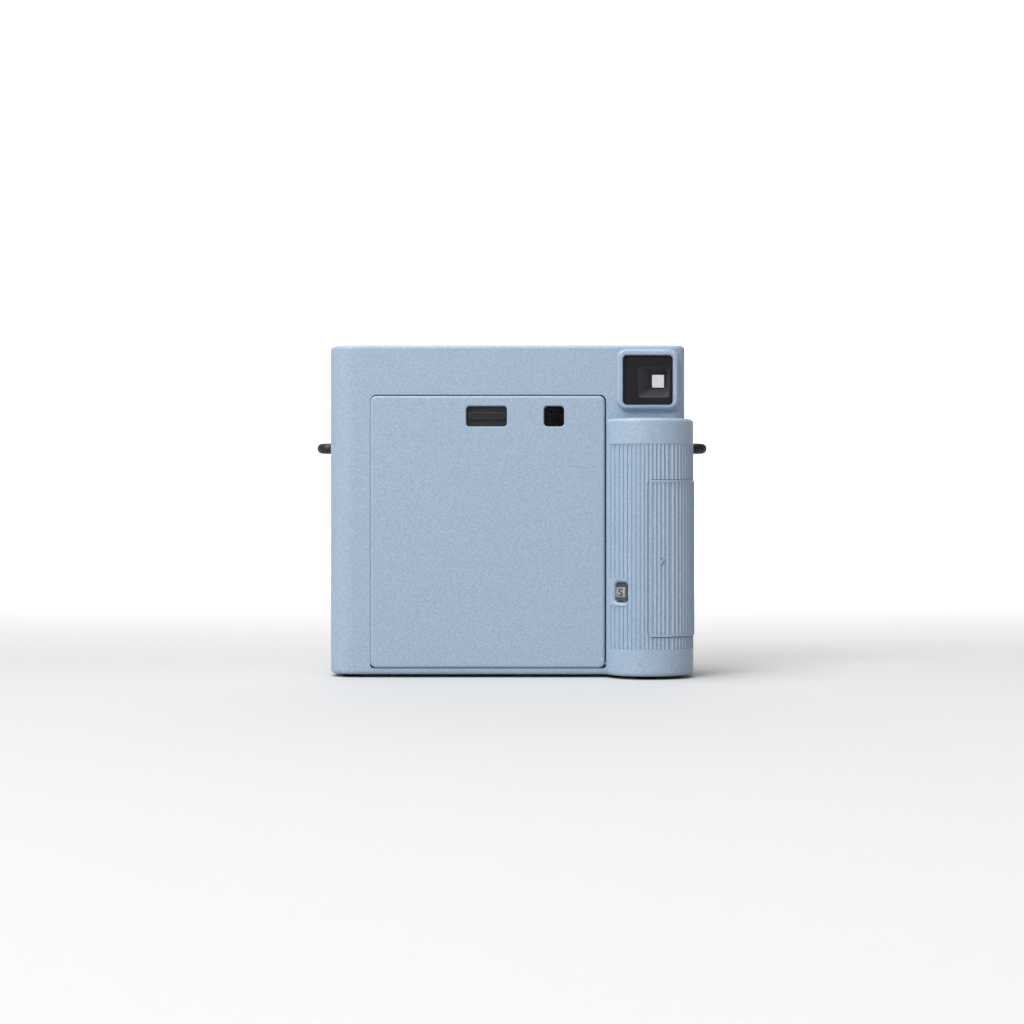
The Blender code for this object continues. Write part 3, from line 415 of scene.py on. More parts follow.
# ---------------------------------------------------------------- rear cover
# The back half of the casing: it holds the film door's opening, the raised rim round the
# eyepiece and the counter's window. Two screws in the bottom hold it to the front cover.
PARTING = 0.15
EYE = (-57.2, -39.4, 97.1, 114.8)
EYE_RIM = (-59.1, -37.2, 95.7, 117.0)
EYE_RIM_BACK = 20.2
DOOR = (-33.2, 50.55, 3.48, 100.5)
DOOR_HINGE = (16.4, 5.0)
DOOR_OPENING = (DOOR[0] - 0.37, DOOR[1] + 0.05, DOOR[2] - 0.22, DOOR[3] + 0.37)
SCREWS = ((53.6, 11.0), (-39.0, 4.0))
COUNTER = (-38.2, 30.65)
COUNTER_ANGLE = math.asin((COUNTER[0] - CREST_X) / REAR_CURVE)
COUNTER_SURFACE = CREST_Y + REAR_CURVE * math.cos(COUNTER_ANGLE)
COUNTER_OPENING = (COUNTER[0] - 2.85, COUNTER[0] + 2.85, COUNTER[1] - 3.6, COUNTER[1] + 3.6)
COUNTER_FLARE = 1.75


def rounded_block(name, limits, low_y, high_y, corner, steps=6):
    """A block with round corners in the camera's X-Z plane. limits: X low, X high, Z low, Z high."""
    low_x, high_x, low_z, high_z = limits
    obj = block(name, low_x, high_x, low_y, high_y, low_z, high_z)
    return round_edges(obj, corner, steps, lambda edge, middle, along: abs(along.y) > 0.9)


def grown(limits, margin):
    """The same limits, moved out by margin all round."""
    return (limits[0] - margin, limits[1] + margin, limits[2] - margin, limits[3] + margin)


def cylinder(name, axis, centre, low, high, radius, vertices=64):
    """A round bar along an axis, from low to high on that axis."""
    turn = {"X": (0, math.radians(90), 0), "Y": (math.radians(90), 0, 0), "Z": (0, 0, 0)}[axis]
    place = Vector(centre)
    place["XYZ".index(axis)] = (low + high) / 2
    bpy.ops.mesh.primitive_cylinder_add(vertices=vertices, radius=radius * MM, depth=(high - low) * MM,
                                        location=place * MM, rotation=turn)
    bpy.context.object.name = name
    return settle(bpy.context.object)


def turned_to_counter(obj):
    """Turn a piece made facing +Y so that it faces out of the grip at the counter."""
    pivot = Vector((COUNTER[0], COUNTER_SURFACE, 0)) * MM
    turn = Matrix.Rotation(-COUNTER_ANGLE, 4, "Z")
    obj.data.transform(Matrix.Translation(pivot) @ turn @ Matrix.Translation(-pivot))
    return obj


rear = copy_of(casing, "rear_cover_shell")
combine(rear, block("rear_half", -90, 90, PARTING, 60, -10, 140), "INTERSECT")
eye_rim = rounded_block("eye_rim", EYE_RIM, BACK - WALL, EYE_RIM_BACK, 3.4, 8)
round_edges(eye_rim, 1.1, 5, rim_of(1, EYE_RIM_BACK))
unite(rear, eye_rim)
eye_hole = rounded_block("eye_hole", EYE, 5, EYE_RIM_BACK - 0.35, 1.5)
eye_mouth = rounded_block("eye_mouth", grown(EYE, 0.35), EYE_RIM_BACK - 0.36, 30, 1.8)
door_hole = rounded_block("door_hole", DOOR_OPENING, 10, 22, 2.3, 8)
hinge_room = rounded_block("hinge_room", (*DOOR_OPENING[:3], 12), 10, 22, 1.2)
counter_hole = rounded_block("counter_hole", COUNTER_OPENING, 15, 35, 1.3)
counter_lead = rounded_block("counter_lead", COUNTER_OPENING, COUNTER_SURFACE - 0.75, COUNTER_SURFACE + 1, 1.3)
for vertex in counter_lead.data.vertices:
    if vertex.co.y > COUNTER_SURFACE * MM:
        vertex.co.x += math.copysign(COUNTER_FLARE * MM, vertex.co.x - COUNTER[0] * MM)
        vertex.co.z += math.copysign(COUNTER_FLARE * MM, vertex.co.z - COUNTER[1] * MM)
carve(rear, eye_hole, eye_mouth, door_hole, hinge_room)
carve(rear, turned_to_counter(counter_hole), turned_to_counter(counter_lead))
for x in (DOOR[1], GRIP_EDGE - 0.5):
    carve(rear, cylinder("pin_bore", "X", (0, *DOOR_HINGE), x - 3.3, x + 3.3, 0.65, 24))
for x, y in SCREWS:
    carve(rear, cylinder("screw_head_bore", "Z", (x, y, 0), -1, 2.4, 2.5, 32),
          cylinder("screw_bore", "Z", (x, y, 0), 1, 6, 1.2, 24))
polish(rear, BLUE)
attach(rear, "casing")
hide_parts("rear_cover")


# ---------------------------------------------------------------- front cover
# The front half of the same shell, with openings for the lens, the flash, the viewfinder,
# the light sensor and the shutter button.
LENS = (8.7, 53.0)
FLASH = (30.0, 56.0, 97.5, 112.5)
FINDER = (-59.3, -44.3, 98.0, 113.0)
SENSOR = (0.0, 105.5)
BUTTON = (-49.2, 79.5)

front = copy_of(casing, "front_cover_shell")
combine(front, block("front_half", -90, 90, -60, -PARTING, -10, 140), "INTERSECT")
carve(front, cylinder("lens_hole", "Y", (LENS[0], 0, LENS[1]), -30, -10, 30.0, 128),
      rounded_block("flash_hole", FLASH, -25, -15, 2.0), rounded_block("finder_hole", FINDER, -25, -15, 1.5),
      cylinder("sensor_hole", "Y", (SENSOR[0], 0, SENSOR[1]), -25, -15, 3.3),
      cylinder("button_hole", "Y", (BUTTON[0], 0, BUTTON[1]), -30, -15, 6.9))
polish(front, BLUE)
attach(front, "casing")
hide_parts("front_cover")
bpy.data.objects.remove(casing)


# ---------------------------------------------------------------- film door
# A flat blue panel on two pins along its bottom edge, with a soft bevel round its face, a
# pocket for the latch and a small window that shows the film. Springs in it carry two pads.
DOOR_INNER, DOOR_OUTER = 15.2, 17.85
POCKET = (1.8, 16.3, 89.5, 96.8)
FILM_WINDOW = (-18.6, -11.4, 89.5, 96.8)
PAD_X = (LENS[0] + 18.0, LENS[0] - 18.0)

door = rounded_block("film_door_panel", DOOR, DOOR_INNER, DOOR_OUTER, 2.2, 8)
for level in (DOOR_INNER, DOOR_OUTER):
    round_edges(door, 1.0, 5, rim_of(1, level))


def mouth(name, limits, corner, lead):
    """Two cutters: a straight one, and one that flares at the door's face to soften the edge."""
    obj = rounded_block(name, limits, 10, DOOR_OUTER - lead, corner)
    flare = rounded_block(name + "_flare", limits, DOOR_OUTER - lead, 22, corner)
    for vertex in flare.data.vertices:
        if vertex.co.y > 0.02:
            slope = (22 - DOOR_OUTER + lead) * MM
            vertex.co.x += math.copysign(slope, vertex.co.x - (limits[0] + limits[1]) / 2 * MM)
            vertex.co.z += math.copysign(slope, vertex.co.z - (limits[2] + limits[3]) / 2 * MM)
    return [obj, flare]


carve(door, *mouth("latch_mouth", POCKET, 1.1, 0.3), *mouth("window_mouth", FILM_WINDOW, 1.3, 0.3))
carve(door, block("latch_room", POCKET[0] - 2.4, POCKET[1] + 2.4, 10, DOOR_OUTER - 1.3, 78.5, DOOR[3] + 1))
for x in (DOOR[0], DOOR[1]):
    carve(door, cylinder("door_bore", "X", (0, *DOOR_HINGE), x - 3, x + 3, 0.7, 24))
for x in PAD_X:
    carve(door, block("spring_seat", x - 4.2, x + 4.2, 10, 15.8, 45.8, 54.2))
polish(door, BLUE)
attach(door, "film_door")
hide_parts("film_door")

pane = rounded_block("door_window_pane", grown(FILM_WINDOW, -0.2), 15.6, DOOR_OUTER - 0.35, 1.1)
round_edges(pane, 0.2, 2, rim_of(1, DOOR_OUTER - 0.35))
SMOKED = moulded("smoked_acrylic", (0.004, 0.004, 0.005), 0.12, grain=2.0, relief=0.001, speckle=0.3,
                 shine=0.15)
polish(pane, SMOKED)
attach(pane, "film_door")
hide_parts("door_window")


# ---------------------------------------------------------------- door latch
# A black nylon slide behind the door's skin. A finger ridge with three shallow lines across it
# stands in the pocket, so that a finger can draw it down.
latch = block("door_latch_slide", POCKET[0] - 1.8, POCKET[1] + 1.8, 14.2, 16.2, 86.8, 98.0)
ridge = rounded_block("ridge", (POCKET[0] + 0.45, POCKET[1] - 0.45, 91.9, 94.7), 15.5, 17.35, 1.0)
round_edges(ridge, 0.35, 3, rim_of(1, 17.35))
unite(latch, ridge, block("tongue", 6.0, 12.0, 14.2, 15.9, 97.0, 100.2))
for step in range(3):
    z = 92.65 + 0.7 * step
    carve(latch, block("finger_line", POCKET[0] + 1.4, POCKET[1] - 1.4, 17.15, 18, z - 0.12, z + 0.12))
LATCH_BLACK = moulded("latch_nylon", (0.02, 0.02, 0.023), 0.4, grain=0.4, relief=0.02, speckle=0.2, shine=0.4)
polish(latch, LATCH_BLACK)
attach(latch, "door_latch")
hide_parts("door_latch")


# ---------------------------------------------------------------- eyepiece and viewfinder
# A black funnel snapped into the rim, with a small clear lens at its bottom. Behind it a black
# tube runs to the clear front window, so daylight shows through.
FUNNEL_MOUTH = (-56.1, -44.7, 99.7, 110.9)
FUNNEL_THROAT = (-55.0, -49.6, 103.1, 108.6)
FUNNEL_TOP = EYE_RIM_BACK - 1.2


def funnel(name, throat, mouth_limits, throat_y, mouth_y):
    """A square funnel with round corners: a block whose inner end is drawn in to the throat."""
    obj = rounded_block(name, mouth_limits, throat_y, mouth_y, 1.2, 5)
    middle = (throat_y + mouth_y) / 2 * MM
    for vertex in obj.data.vertices:
        if vertex.co.y < middle:
            for axis, low, high in ((0, 0, 1), (2, 2, 3)):
                share = (vertex.co[axis] / MM - mouth_limits[low]) / (mouth_limits[high] - mouth_limits[low])
                vertex.co[axis] = (throat[low] + (throat[high] - throat[low]) * share) * MM
    return obj


eyepiece = rounded_block("eyepiece_funnel_frame", grown(EYE, -0.25), 12.5, EYE_RIM_BACK - 1.3, 1.3)
round_edges(eyepiece, 0.4, 3, rim_of(1, EYE_RIM_BACK - 1.3))
carve(eyepiece, funnel("funnel", FUNNEL_THROAT, FUNNEL_MOUTH, 14.0, FUNNEL_TOP),
      block("lens_seat", FUNNEL_THROAT[0], FUNNEL_THROAT[1], 5, 13.8, FUNNEL_THROAT[2], FUNNEL_THROAT[3]),
      block("throat", FUNNEL_THROAT[0] + 0.55, FUNNEL_THROAT[1] - 0.55, 5, 15, FUNNEL_THROAT[2] + 0.5,
            FUNNEL_THROAT[3] - 0.45))
EYE_BLACK = moulded("satin_black_plastic", (0.011, 0.011, 0.014), 0.35, grain=0.5, relief=0.012, speckle=0.1,
                    shine=0.3)
# The funnel's slanted facets get a lighter black than the frame round them: painted light, standing in for the
# light that the facets catch.
FUNNEL_PAINTED_LIGHT_BLACK = moulded("funnel_painted_light_black", (0.06, 0.06, 0.066), 0.5, grain=0.5, relief=0.012, speckle=0.1,
                      shine=0.3)
polish(eyepiece, EYE_BLACK)
# Painted light: the slanted facets inside the funnel's mouth take the lighter black.
eyepiece.data.materials.append(FUNNEL_PAINTED_LIGHT_BLACK)
for face in eyepiece.data.polygons:
    slanted = 0.1 < face.normal.y < 0.95
    within = FUNNEL_MOUTH[0] < face.center.x / MM < FUNNEL_MOUTH[1] and face.center.y / MM < FUNNEL_TOP
    if slanted and within and FUNNEL_MOUTH[2] < face.center.z / MM < FUNNEL_MOUTH[3]:
        face.material_index = 1
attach(eyepiece, "casing")
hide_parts("eyepiece_frame")


# ---------------------------------------------------------------- battery cover
# A ribbed blue cover over the two cells, which slides out the way its arrow points and then
# swings on the hinge frame at its front edge. It stands a little proud of the grip.
COVER = (15.0, 70.3)
COVER_EDGE = -47.9
COVER_PIN = (-64.2, -1.9)
PROUD = 0.35
COVER_WALL = 1.9
COVER_BORDER = 0.9            # the plain strip round the cover's ribs

outside, outside_x = REAR_CURVE + PROUD, SIDE_CURVE + PROUD
inside, inside_x = outside - COVER_WALL, outside_x - COVER_WALL
start_out = math.degrees(math.acos((COVER_EDGE - CREST_X) / outside_x))
start_in = math.degrees(math.acos((COVER_EDGE - CREST_X) / inside_x))
cover_outline = (arc(CREST_X, CREST_Y, outside_x, outside, start_out, 180, 40)
                 + [(-SIDE, COVER_PIN[1]), (-SIDE + COVER_WALL, COVER_PIN[1])]
                 + list(reversed(arc(CREST_X, CREST_Y, inside_x, inside, start_in, 180, 40))))
cover = prism("battery_cover_shell", cover_outline, *COVER)
round_edges(cover, 1.45, 1, lambda edge, middle, along: abs(middle.x - COVER_EDGE) < 0.2
            and abs(along.y) > 0.8 and min(abs(middle.z - level) for level in COVER) < 0.01)
for level in COVER:
    round_edges(cover, 0.3, 2, rim_of(2, level))
unite(cover, cylinder("cover_barrel", "Z", (*COVER_PIN, 0), COVER[0] + 2.3, COVER[1] - 2.3, 1.15, 32))
carve(cover, block("ear_gap", -70, -62, -5, -0.4, COVER[0] - 1, COVER[0] + 2.3),
      block("ear_gap_top", -70, -62, -5, -0.4, COVER[1] - 2.3, COVER[1] + 1),
      cylinder("cover_bore", "Z", (*COVER_PIN, 0), COVER[0] - 1, COVER[1] + 1, 0.72, 24))
carve(cover, grooves("cover_grooves", PROUD, COVER[0] + COVER_BORDER, COVER[1] - COVER_BORDER,
                     gaps=[(COVER_EDGE - COVER_BORDER, 0, *COVER)]))
ARROW_X, ARROW_Z = -52.8, 42.5
ARROW_HEIGHT = 0.42
ARROW_LEAN = 48
arrow_slope = (ARROW_X - CREST_X) / outside_x
arrow_y = CREST_Y + outside * math.sqrt(1 - arrow_slope ** 2)
for lean in (1, -1):
    stroke = block("arrow_stroke", -1.2, 1.2, -0.6, ARROW_HEIGHT, -0.3, 0.3)
    round_edges(stroke, 0.1, 2, rim_of(1, ARROW_HEIGHT))
    lift = Matrix.Translation(Vector((0.1, 0, 0.72 * lean)) * MM)
    place = Matrix.Translation(Vector((ARROW_X, arrow_y, ARROW_Z)) * MM)
    tilt = math.atan2(-arrow_slope / outside_x, math.sqrt(1 - arrow_slope ** 2) / outside)
    turn = Matrix.Rotation(tilt, 4, "Z")
    stroke.data.transform(place @ turn @ lift @ Matrix.Rotation(math.radians(-ARROW_LEAN * lean), 4, "Y"))
    unite(cover, stroke)
polish(cover, BLUE)
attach(cover, "battery_cover")
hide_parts("battery_cover")


# ---------------------------------------------------------------- frame counter
# A black drum with the number of pictures left, behind a clear window in the grip. The marks
# are printed light grey, and S, the place before the first picture, is dark on a light patch.
DRUM_RADIUS = 4.2
DRUM_WIDTH = 6.0
DRUM_DEPTH = 1.9              # its nearest point, below the surface of the grip
START_SHIFT = -1.0            # S and its patch sit to one side on the drum
START_PATCH = (3.7, 3.5)
MARKS = ("S", "10", "8", "6", "4", "2", "0")
out_of_grip = Vector((math.sin(COUNTER_ANGLE), math.cos(COUNTER_ANGLE), 0))
along_drum = Vector((-math.cos(COUNTER_ANGLE), math.sin(COUNTER_ANGLE), 0))
window_middle = Vector((COUNTER[0], COUNTER_SURFACE, COUNTER[1]))
drum_middle = window_middle - out_of_grip * (DRUM_RADIUS + DRUM_DEPTH)


def onto_drum(obj, step, height):
    """Wrap a flat piece, drawn in millimetres in X and Y, round the drum at one of its marks."""
    for vertex in obj.data.vertices:
        angle = vertex.co.y / DRUM_RADIUS + step * 2 * math.pi / len(MARKS)
        radius = DRUM_RADIUS + height + vertex.co.z
        point = (drum_middle + along_drum * vertex.co.x + out_of_grip * radius * math.cos(angle)
                 + Vector((0, 0, 1)) * radius * math.sin(angle))
        vertex.co = point * MM
    return obj


GREY_INK = moulded("light_grey_ink", (0.56, 0.57, 0.60), 0.6, grain=0.3, relief=0.004, speckle=0.05)
DARK_INK = moulded("dark_ink", (0.03, 0.03, 0.035), 0.6, grain=0.3, relief=0.004, speckle=0.1)
DRUM_GREY = moulded("drum_grey", (0.07, 0.073, 0.088), 0.5, grain=0.3, relief=0.01, speckle=0.1)

bpy.ops.mesh.primitive_cylinder_add(vertices=96, radius=DRUM_RADIUS, depth=DRUM_WIDTH)
drum = bpy.context.object
drum.name = "counter_drum_body"
settle(drum)
turn_drum = Matrix.Translation(drum_middle * MM) @ along_drum.to_track_quat("Z", "Y").to_matrix().to_4x4()
drum.data.transform(turn_drum @ Matrix.Scale(MM, 4))
polish(drum, DRUM_GREY)
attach(drum, "counter_drum")
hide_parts("counter_drum")

bpy.ops.mesh.primitive_grid_add(x_subdivisions=8, y_subdivisions=16, size=1)
patch = bpy.context.object
patch.name = "counter_start_patch"
patch.data.transform(Matrix.Translation((START_SHIFT, 0, 0)) @ Matrix.Diagonal((*START_PATCH, 1, 1)))
bpy.ops.object.mode_set(mode="EDIT")
bpy.ops.mesh.select_all(action="SELECT")
bpy.ops.mesh.extrude_region_move(TRANSFORM_OT_translate={"value": (0, 0, 0.05)})
bpy.ops.mesh.select_all(action="SELECT")
bpy.ops.mesh.normals_make_consistent(inside=False)
bpy.ops.object.mode_set(mode="OBJECT")
onto_drum(patch, 0, -0.02)
polish(patch, GREY_INK)
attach(patch, "counter_drum")

for step, mark in enumerate(MARKS):
    bpy.ops.object.text_add(location=(0, 0, 0))
    text = bpy.context.object
    text.data.body = mark
    text.data.size = 3.7 if step == 0 else 2.5
    text.data.extrude = 0.02
    text.data.offset = 0.09 if step == 0 else 0.03
    text.data.align_x = "CENTER"
    text.data.align_y = "CENTER"
    bpy.ops.object.convert(target="MESH")
    text = bpy.context.object
    text.name = "counter_mark_" + mark
    centre = sum((vertex.co for vertex in text.data.vertices), Vector()) / len(text.data.vertices)
    if step == 0:
        text.data.transform(Matrix.Translation((START_SHIFT, 0, 0)) @ Matrix.Diagonal((1.25, 1, 1, 1)))
    text.data.transform(Matrix.Translation((0, -centre.y, 0)))
    onto_drum(text, step, 0.06 if step == 0 else 0.01)
    bpy.ops.object.mode_set(mode="EDIT")
    bpy.ops.mesh.select_all(action="SELECT")
    bpy.ops.mesh.remove_doubles(threshold=0.000002)
    bpy.ops.mesh.normals_make_consistent(inside=False)
    bpy.ops.object.mode_set(mode="OBJECT")
    polish(text, DARK_INK if step == 0 else GREY_INK)
    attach(text, "counter_drum")


def clear(name, tint, roughness=0.03, cloud=0.01, ior=1.49):
    """Clear acrylic or glass: polished, with a faint haze that differs over the surface."""
    material = bpy.data.materials.new(name)
    tree, shader = nodes_of(material)
    place = tree.nodes.new("ShaderNodeTexCoord")
    haze = tree.nodes.new("ShaderNodeTexNoise")
    haze.inputs["Scale"].default_value = 220.0
    haze.inputs["Detail"].default_value = 3.0
    tree.links.new(place.outputs["Object"], haze.inputs["Vector"])
    spread = tree.nodes.new("ShaderNodeMapRange")
    spread.inputs["To Min"].default_value = roughness
    spread.inputs["To Max"].default_value = roughness + cloud
    tree.links.new(haze.outputs["Fac"], spread.inputs["Value"])
    tree.links.new(spread.outputs["Result"], shader.inputs["Roughness"])
    shade = tree.nodes.new("ShaderNodeMix")
    shade.data_type = "RGBA"
    shade.inputs["A"].default_value = (*[channel * 0.98 for channel in tint], 1)
    shade.inputs["B"].default_value = (*tint, 1)
    tree.links.new(haze.outputs["Fac"], shade.inputs["Factor"])
    tree.links.new(shade.outputs["Result"], shader.inputs["Base Color"])
    shader.inputs["Transmission Weight"].default_value = 1.0
    shader.inputs["IOR"].default_value = ior
    return material


CLEAR = clear("clear_acrylic", (0.97, 0.98, 0.98))
counter_pane = rounded_block("counter_window_pane", (COUNTER[0] - 2.6, COUNTER[0] + 2.6, COUNTER[1] - 3.35,
                                                     COUNTER[1] + 3.35), window_middle.y - 1.5,
                             window_middle.y - 0.7, 0.9)
round_edges(counter_pane, 0.15, 2, rim_of(1, window_middle.y - 0.7))
polish(turned_to_counter(counter_pane), CLEAR)
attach(counter_pane, "casing")
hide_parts("counter_window")


# ---------------------------------------------------------------- strap loops, feet and screws
# Two tough black nylon loops clamped between the covers, two rubber rails that the camera
# stands on, and two small cross-head screws that draw the covers together.
LUG_Z, LUG_HALF, LUG_TIP = 82.1, 1.85, 70.95
RUBBER = moulded("foot_rubber", (0.05, 0.05, 0.055), 0.8, grain=0.5, relief=0.03, speckle=0.15)
LUG_BLACK = moulded("loop_nylon", (0.016, 0.015, 0.017), 0.38, grain=0.6, relief=0.02, speckle=0.2, shine=0.4)

for name, outward in (("strap_lug_side", 1), ("strap_lug_grip", -1)):
    near, far = (SIDE - 4.0) * outward, LUG_TIP * outward
    loop = block(name + "_loop", *sorted((near, far)), -5, 5, LUG_Z - LUG_HALF, LUG_Z + LUG_HALF)
    round_edges(loop, 4.6, 12, lambda edge, middle, along: abs(along.z) > 0.9 and abs(middle.x) > SIDE)
    for level in (LUG_Z - LUG_HALF, LUG_Z + LUG_HALF):
        round_edges(loop, 1.75, 7, rim_of(2, level))
    eye_ends = sorted((far - 1.8 * outward, far - 4.3 * outward))
    eye = block("eye", *eye_ends, -2.9, 2.9, LUG_Z - 4, LUG_Z + 4)
    round_edges(eye, 1.0, 4, lambda edge, middle, along: abs(along.z) > 0.9)
    carve(loop, eye)
    flange_ends = sorted((near, near + 1.5 * outward))
    unite(loop, block("flange", *flange_ends, -7.5, 7.5, LUG_Z - 3.2, LUG_Z + 3.2))
    polish(loop, LUG_BLACK)
    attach(loop, "casing")
    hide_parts(name)

for name, low_x, high_x, back in (("foot_side", 56.6, 61.3, 9.0), ("foot_grip", -51.8, -44.1, 21.4)):
    foot = block(name + "_rail", low_x, high_x, -12, back, 0, BOTTOM - 0.3)
    round_edges(foot, 1.6, 6, lambda edge, middle, along: abs(along.z) > 0.9)
    round_edges(foot, 0.25, 3, rim_of(2, 0))
    polish(foot, RUBBER)
    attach(foot, "casing")
    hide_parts(name)

STEEL = moulded("bright_steel", (0.56, 0.56, 0.57), 0.28, grain=0.8, relief=0.01, speckle=0.04, metallic=1.0)
for number, (x, y) in enumerate(SCREWS, start=1):
    screw = cylinder(f"casing_screw_{number}_head", "Z", (x, y, 0), 1.2, 2.1, 2.1, 48)
    round_edges(screw, 0.3, 3, rim_of(2, 1.2))
    unite(screw, cylinder("shank", "Z", (x, y, 0), 2.0, 7.6, 0.8, 24))
    for wide, deep in ((1.3, 0.28), (0.28, 1.3)):
        carve(screw, block("recess", x - wide, x + wide, y - deep, y + deep, 1.0, 1.75))
    polish(screw, STEEL)
    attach(screw, "casing")
    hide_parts(f"casing_screw_{number}")


# ---------------------------------------------------------------- lens dial and barrel
# A ribbed blue dial that turns by hand and drives the black barrel out. In the barrel sit a
# stepped black ring, the coated front glass and a small round mirror for framing oneself.
DIAL_RADIUS = 34.0
NOTCHES = 3
RIDGES = 72
MIRROR_REACH = 22.8


def turned(name, profile, centre, steps=128):
    """A closed profile of (radius, Y) points, swung round a line along Y."""
    bpy.ops.mesh.primitive_circle_add(vertices=len(profile), radius=1, fill_type="NOTHING")
    obj = bpy.context.object
    obj.name = name
    for vertex, (radius, y) in zip(obj.data.vertices, profile):
        vertex.co = ((centre[0] + radius) * MM, y * MM, centre[1] * MM)
    bpy.ops.object.mode_set(mode="EDIT")
    bpy.ops.mesh.select_all(action="SELECT")
    bpy.ops.mesh.spin(steps=steps, angle=2 * math.pi, center=(centre[0] * MM, 0, centre[1] * MM),
                      axis=(0, 1, 0))
    bpy.ops.mesh.select_all(action="SELECT")
    bpy.ops.mesh.remove_doubles(threshold=0.000002)
    bpy.ops.mesh.select_all(action="SELECT")
    bpy.ops.mesh.normals_make_consistent(inside=False)
    bpy.ops.object.mode_set(mode="OBJECT")
    return settle(obj)


dial = turned("lens_dial_ring", [(29.9, -20.1), (34.0, -20.1), (34.0, -27.2)]
              + arc(32.6, -27.35, 1.4, 1.4, 0, -90, 6) + [(30.7, -28.75), (30.2, -28.6), (29.9, -28.2)], LENS)
notches = []
for index in range(NOTCHES):
    angle = math.radians(90 + 120 * index)
    place = (LENS[0] + 35.6 * math.cos(angle), 0, LENS[1] + 35.6 * math.sin(angle))
    notches.append(cylinder("notch", "Y", place, -35, -21.5, 2.6, 32))
carve(dial, joined("notches", notches))
ridges = []
for index in range(RIDGES):
    angle = math.radians(2.5 + 5 * index)
    to_notch = [abs((math.degrees(angle) - 90 - 120 * turn + 180) % 360 - 180) for turn in range(NOTCHES)]
    if min(to_notch) > 6:
        ridge_cut = block("ridge_cut", DIAL_RADIUS - 0.35, DIAL_RADIUS + 1, -26.6, -21.4, -0.3, 0.3)
        ridge_cut.data.transform(Matrix.Translation(Vector((LENS[0], 0, LENS[1])) * MM)
                                 @ Matrix.Rotation(-angle, 4, "Y"))
        ridges.append(ridge_cut)
carve(dial, joined("ridge_cuts", ridges))
polish(dial, BLUE)
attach(dial, "lens_dial")
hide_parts("lens_dial")

mirror_angle = math.radians(35)
MIRROR_PLACE = (LENS[0] + MIRROR_REACH * math.cos(mirror_angle),
                LENS[1] + MIRROR_REACH * math.sin(mirror_angle))
barrel = turned("lens_barrel_shell", [(27.4, -8), (29.2, -8), (29.2, -27.3)]
                + arc(28.6, -27.3, 0.6, 0.6, 0, -90, 4)
                + [(25.6, -27.9), (25.4, -27.7), (25.0, -27.7), (24.8, -27.9), (18.2, -27.9), (17.6, -27.6),
                   (17.3, -26.4), (17.0, -26.2), (16.9, -24.6), (10.4, -24.6), (10.4, -22.6),
                   (27.4, -22.6)], LENS)
carve(barrel, cylinder("mirror_seat", "Y", (MIRROR_PLACE[0], 0, MIRROR_PLACE[1]), -30, -26.2, 4.6, 48))
polish(barrel, BLACK)
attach(barrel, "lens_barrel")
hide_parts("lens_barrel")

ring = turned("lens_ring_steps", [(9.9, -24.9), (16.3, -24.9), (16.3, -26.6), (15.6, -26.6), (15.2, -26.2),
                                  (14.2, -26.2), (13.8, -25.95), (12.8, -25.95), (12.4, -25.7),
                                  (10.6, -25.7)], LENS)
polish(ring, EYE_BLACK)
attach(ring, "lens_barrel")
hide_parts("lens_ring")

GLASS = clear("coated_glass", (0.80, 0.84, 0.95), roughness=0.0, cloud=0.01, ior=1.6)
dome = arc(0, -16.9, 9.55, 9.55, -90, -54, 10)
glass = turned("front_lens_glass", dome + [(9.4, -24.4), (9.4, -22.8), (0, -22.2)], LENS, 96)
polish(glass, GLASS)
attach(glass, "lens_barrel")
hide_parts("front_lens")

MIRROR = moulded("mirror_chrome", (0.86, 0.87, 0.88), 0.04, grain=3.0, relief=0.0005, speckle=0.01,
                 metallic=1.0)
mirror = turned("selfie_mirror_dome", arc(0, -20.5, 7.5, 7.5, -90, -58, 8)
                + [(4.3, -26.9), (4.3, -26.5), (0, -26.5)], MIRROR_PLACE, 64)
polish(mirror, MIRROR)
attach(mirror, "lens_barrel")
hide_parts("selfie_mirror")


# ---------------------------------------------------------------- flash, sensor, finder window, button
# The flash has a clear ribbed window over a bright reflector. The light sensor is a small smoked
# dome, the viewfinder ends in a flat clear window, and the white button has a dished top.
flash = rounded_block("flash_window_pane", grown(FLASH, -0.3), -19.6, -18.0, 1.7)
round_edges(flash, 0.25, 3, rim_of(1, -19.6))
FLASH_RIBS = 20
ribs = []
for index in range(FLASH_RIBS):
    x = FLASH[0] + 2.2 + index * (FLASH[1] - FLASH[0] - 4.4) / (FLASH_RIBS - 1)
    ribs.append(block("flash_rib", x - 0.25, x + 0.25, -18.4, -17.5, FLASH[2] + 1.2, FLASH[3] - 1.2))
carve(flash, joined("flash_ribs", ribs))
polish(flash, CLEAR)
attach(flash, "casing")
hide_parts("flash_window")

finder = rounded_block("viewfinder_window_pane", grown(FINDER, -0.3), -19.6, -18.2, 1.2)
round_edges(finder, 0.25, 3, rim_of(1, -19.6))
FINDER_GLASS = clear("finder_glass", (0.73, 0.73, 0.74))
polish(finder, FINDER_GLASS)
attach(finder, "casing")
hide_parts("viewfinder_window")

TARGET_MARK = Vector((-52.1, -17.8, 105.9))
bpy.ops.mesh.primitive_torus_add(major_segments=40, minor_segments=8, major_radius=0.45 * MM,
                                 minor_radius=0.05 * MM, location=TARGET_MARK * MM,
                                 rotation=(math.radians(90), 0, 0))
target = settle(bpy.context.object)
target.name = "finder_target_mark"
polish(target, GREY_INK)
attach(target, "casing")

sensor = turned("light_sensor_dome", arc(0, -15.6, 4.0, 4.0, -90, -42, 8)
                + [(3.0, -18.2), (3.0, -17.9), (0, -17.9)], SENSOR, 48)
polish(sensor, SMOKED)
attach(sensor, "casing")
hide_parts("light_sensor")

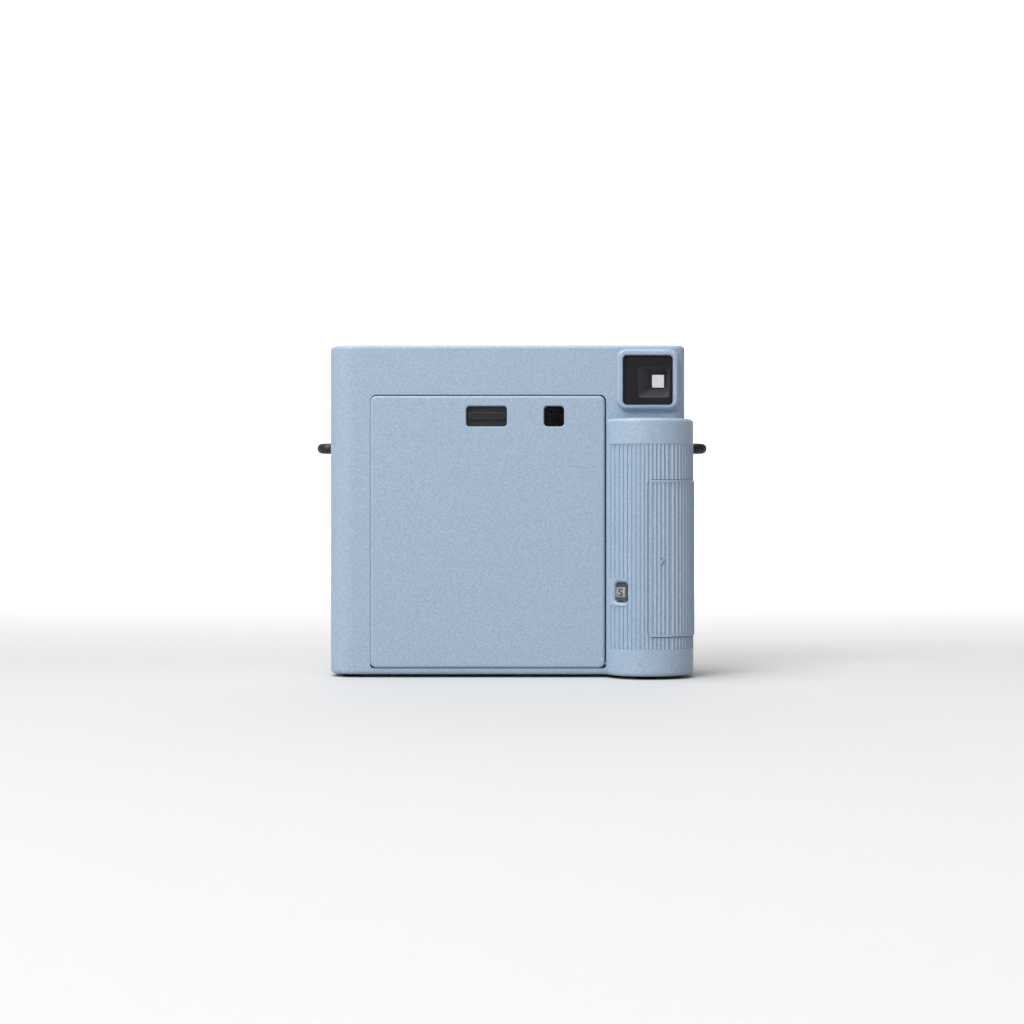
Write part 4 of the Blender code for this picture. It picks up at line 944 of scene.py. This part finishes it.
WHITE = moulded("button_white", (0.78, 0.79, 0.80), 0.4, grain=0.5, relief=0.02, speckle=0.03)
button = turned("shutter_button_cap", [(0, -15.8), (1.8, -15.8), (1.8, -17.4), (7.3, -17.4), (7.3, -18.4),
                                       (6.6, -18.4), (6.6, -23.8)] + arc(5.8, -23.8, 0.8, 0.8, 0, -90, 5)
                + [(5.0, -24.55), (3.4, -24.3), (1.7, -24.15), (0, -24.1)], BUTTON, 96)
polish(button, WHITE)
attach(button, "shutter_button")
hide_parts("shutter_button")


# ---------------------------------------------------------------- what shows inside
# The film chassis, rollers, gears, springs, cells and circuit board keep their CAD shapes. Each
# gets its real finish: blackened plastic, turned steel, nylon, brass, printed sleeve or mask.
NYLON = moulded("nylon", (0.68, 0.66, 0.58), 0.5, grain=0.6, relief=0.01, speckle=0.03)
BRASS = moulded("brass", (0.68, 0.50, 0.23), 0.28, grain=0.7, relief=0.008, speckle=0.05, metallic=1.0)
BOARD = moulded("board_green", (0.02, 0.16, 0.07), 0.4, grain=1.5, relief=0.02, speckle=0.3)
SLEEVE = moulded("cell_sleeve", (0.62, 0.63, 0.65), 0.35, grain=1.0, relief=0.004, speckle=0.03)
INSIDE = {
    BLACK: ("film_chassis", "light_cone", "pressure_pad_left", "pressure_pad_right", "viewfinder_tube",
            "battery_holder", "cover_hinge_frame", "exit_flap", "flash_capacitor"),
    EYE_BLACK: ("shutter_plate",),
    STEEL: ("roller_front", "roller_rear", "roller_bracket", "idler_pin", "motor", "door_pin_left",
            "door_pin_right", "latch_spring", "pressure_spring_left", "pressure_spring_right",
            "shutter_spring", "shutter_pivot", "shutter_blade_left", "shutter_blade_right"),
    NYLON: ("roller_gear_front", "roller_gear_rear", "idler_gear"),
    BRASS: ("motor_pinion", "battery_spring", "battery_contact"),
    BOARD: ("circuit_board",),
    SLEEVE: ("battery_lower", "battery_upper"),
    MIRROR: ("flash_reflector",),
    FINDER_GLASS: ("eyepiece_lens",),
    CLEAR: ("flash_tube",),
}
for finish, names in INSIDE.items():
    for name in names:
        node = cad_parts[name]
        if not node.material_slots:
            node.data.materials.append(finish)
        for slot in node.material_slots:
            slot.material = finish

# Each spring gets a mesh of its own.
for name, joint, axis, anchor, keep in (
        ("latch_spring", "door_latch_slide", (0, 0, 1), (9.05, 14.9, 79.2), 0.7),
        ("pressure_spring_left", "pressure_pad_left_slide", (0, 1, 0), (PAD_X[0], 15.5, 50.0), 0.34),
        ("pressure_spring_right", "pressure_pad_right_slide", (0, 1, 0), (PAD_X[1], 15.5, 50.0), 0.34),
        ("shutter_spring", "shutter_press", (0, 1, 0), (BUTTON[0], -13.7, BUTTON[1]), 0.58)):
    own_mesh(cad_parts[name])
